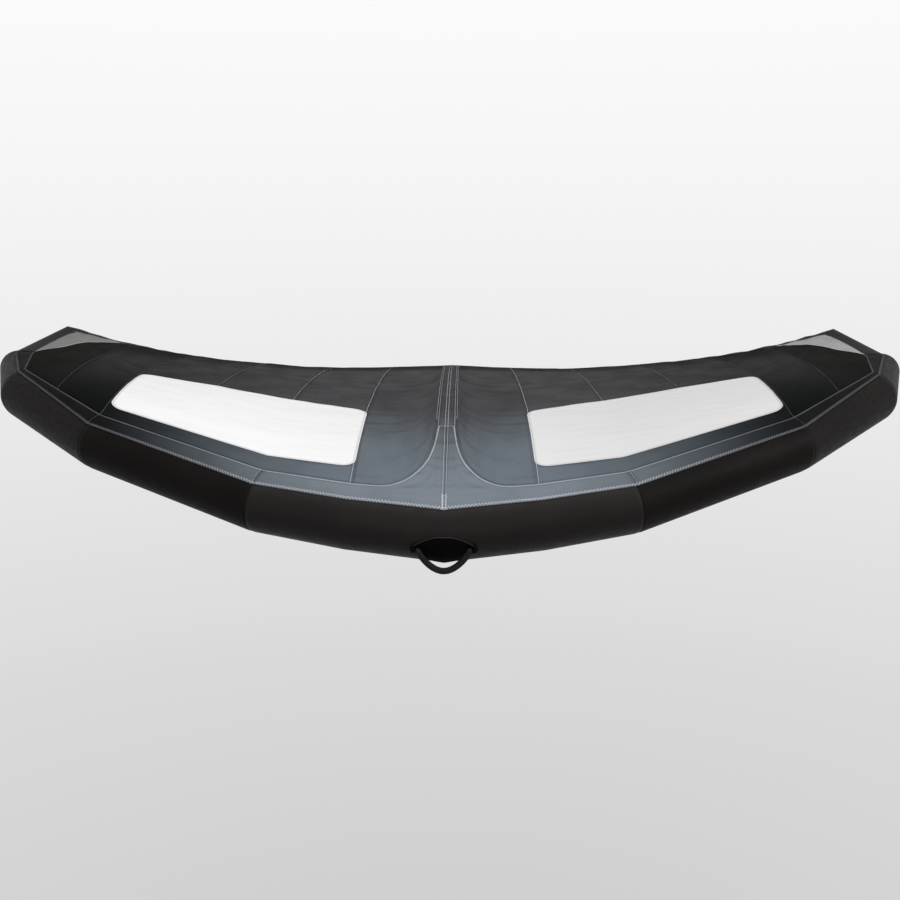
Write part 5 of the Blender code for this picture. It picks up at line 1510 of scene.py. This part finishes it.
# %% The zip's tape
ZIP_ANGLE, ZIP_HALF, ZIP_FROM, ZIP_TO = -170, 0.011, 0.045, 0.245
half_turn = math.degrees(ZIP_HALF / RADII[0])
tape_columns = []
for share in steps(-1, 1, 10):
    degrees = ZIP_ANGLE + half_turn * share
    tape_columns.append([tube_at(x, degrees, LIFT) for x in steps(ZIP_TO, ZIP_FROM, 40)])
tape = lay_grid("zip_tape", mirrored(tape_columns))
outwards(tape)
if sum(f.normal.z * f.area for f in tape.data.polygons) > 0:
    tape.data.flip_normals()
thicken(tape, 0.0009, 1)
belongs(tape, web, stands_for=["le_zip"])
print("zip tape", len(tape.data.polygons), "faces")

# %% The zip's teeth
TOOTH_PITCH, TOOTH_RADIUS, TOOTH_LENGTH, TOOTH_SLANT = 0.0024, 0.0007, 0.0052, 0.28
ZIP_MARGIN = 0.003
first_x, last_x = ZIP_FROM + ZIP_MARGIN, ZIP_TO - ZIP_MARGIN
zip_start, zip_end = (tube_at(x, ZIP_ANGLE, LIFT + 0.0011) for x in (first_x, last_x))
zip_start.x, zip_end.x = -zip_start.x, -zip_end.x
zip_run = zip_end - zip_start
deselect()
lying = (math.pi / 2, 0, TOOTH_SLANT)
bpy.ops.mesh.primitive_cylinder_add(vertices=8, radius=TOOTH_RADIUS, depth=TOOTH_LENGTH, rotation=lying)
teeth = bpy.context.object
teeth.name = teeth.data.name = "zip_teeth"
bpy.ops.object.transform_apply(location=True, rotation=True, scale=True)
soft = teeth.modifiers.new("soft", "BEVEL")
soft.width, soft.segments = 0.0002, 1
bpy.ops.object.modifier_apply(modifier=soft.name)
line = teeth.modifiers.new("line", "ARRAY")
line.count = int(zip_run.length / TOOTH_PITCH)
line.use_relative_offset = False
line.use_constant_offset = True
line.constant_offset_displace = (TOOTH_PITCH, 0, 0)
bpy.ops.object.modifier_apply(modifier=line.name)
left_bend = Vector((-BENDS[1].x, BENDS[1].y, BENDS[1].z))
outward = (zip_start - BENDS[0].lerp(left_bend, first_x / BENDS[1].x)).normalized()
along_zip = zip_run.normalized()
outward = (outward - along_zip * outward.dot(along_zip)).normalized()
turn = Matrix((along_zip, outward.cross(along_zip), outward)).transposed().to_4x4()
teeth.data.transform(Matrix.Translation(zip_start + Vector(TO_WORLD)) @ turn)
bpy.ops.object.shade_smooth_by_angle(angle=math.radians(40))
belongs(teeth, FINISHES["valve_plastic"])
print("zip of", int(zip_run.length / TOOTH_PITCH), "teeth")

# %% The leash loop
LEASH_ANGLE, LEASH_HALF_TURN, LEASH_FOOT_TURN, LEASH_DROP = 206, 13, 11, 0.026
LEASH_HALF = 0.0125
loop_path = [(turn, 0.0) for turn in steps(-LEASH_HALF_TURN - LEASH_FOOT_TURN, -LEASH_HALF_TURN, 6)[:-1]]
for share in steps(-1, 1, 28):
    loop_path.append((LEASH_HALF_TURN * share, LEASH_DROP * math.cos(share * math.pi / 2)))
loop_path += [(turn, 0.0) for turn in steps(LEASH_HALF_TURN, LEASH_HALF_TURN + LEASH_FOOT_TURN, 6)[1:]]
loop_points = [ring_point(0, LEASH_ANGLE + turn, 0.0016 + drop) for turn, drop in loop_path]
strap("leash_webbing", loop_points, (LEASH_HALF, 0, 0), STRAP_WALL, web, "wing", ["leash_loop"])
print("leash loop laid")

# %% [markdown]
# ## The air tubes inside
# Each fabric tube holds a thin film bladder that fills it. They are out of sight, so they are plain
# tubes laid just inside the casings, with closed ends.

# %% Bladders
BLADDER_GAP, BLADDER_ROUND = -0.0030, 48
BLADDER_FROM, BLADDER_TO, BLADDER_END, STRUT_ROUND = 0.20, 1.87, 0.02, 40
around = steps(180, -180, BLADDER_ROUND)
air_rings = [[ring_point(0, degrees, BLADDER_GAP) for degrees in around]]
for i in range(LAST):
    for share in steps(0, 1, 6)[1:]:
        air_rings.append([cone_point(i, share, degrees, BLADDER_GAP) for degrees in around])
tip_ring = [ring_point(LAST, degrees, BLADDER_GAP) for degrees in around]
tip_out = (BENDS[LAST] - BENDS[LAST - 1]).normalized() * (RADII[LAST] + BLADDER_GAP)
air_rings += dome_rings(tip_ring, BENDS[LAST], tip_out, (15, 30, 45, 60, 75, 90))
air_rings = mirrored(air_rings[:0:-1]) + air_rings
bladder = FINISHES["bladder_film"]
le_air = round_piece("le_air_tube", air_rings, bladder, "wing", ["le_bladder"])

strut_rings = []
for share in steps(0, 1, 40):
    y = BLADDER_FROM + (BLADDER_TO - BLADDER_FROM) * share
    strut_rings.append([strut_skin(y, degrees, BLADDER_GAP) for degrees in steps(0, 360, STRUT_ROUND)])
front_end = ring_middle(strut_rings[0]) - Vector((0, BLADDER_END, 0))
back_end = ring_middle(strut_rings[-1]) + Vector((0, BLADDER_END, 0))
ends = [[place] * (STRUT_ROUND + 1) for place in (front_end, back_end)]
strut_rings = [ends[0]] + strut_rings + [ends[1]]
strut_air = round_piece("strut_air_tube", strut_rings, bladder, "wing", ["strut_bladder"])
print("bladders", len(le_air.data.polygons), len(strut_air.data.polygons))

# %% [markdown]
# ## What is left of the solid model
# The valve, the ports, the clamp and the zip's slider are hard parts, and their solid shapes are
# right. They only take on their finishes.

# %% Finishes on the kept parts
slot_of = {row["node"]: row["material_slot"] for row in frame["record"]["subparts"]}
for name, node in nodes.items():
    if not node.hide_render:
        for place in node.material_slots:
            place.material = FINISHES[slot_of[name]]
print("kept from the model:", sorted(n for n, o in nodes.items() if not o.hide_render))
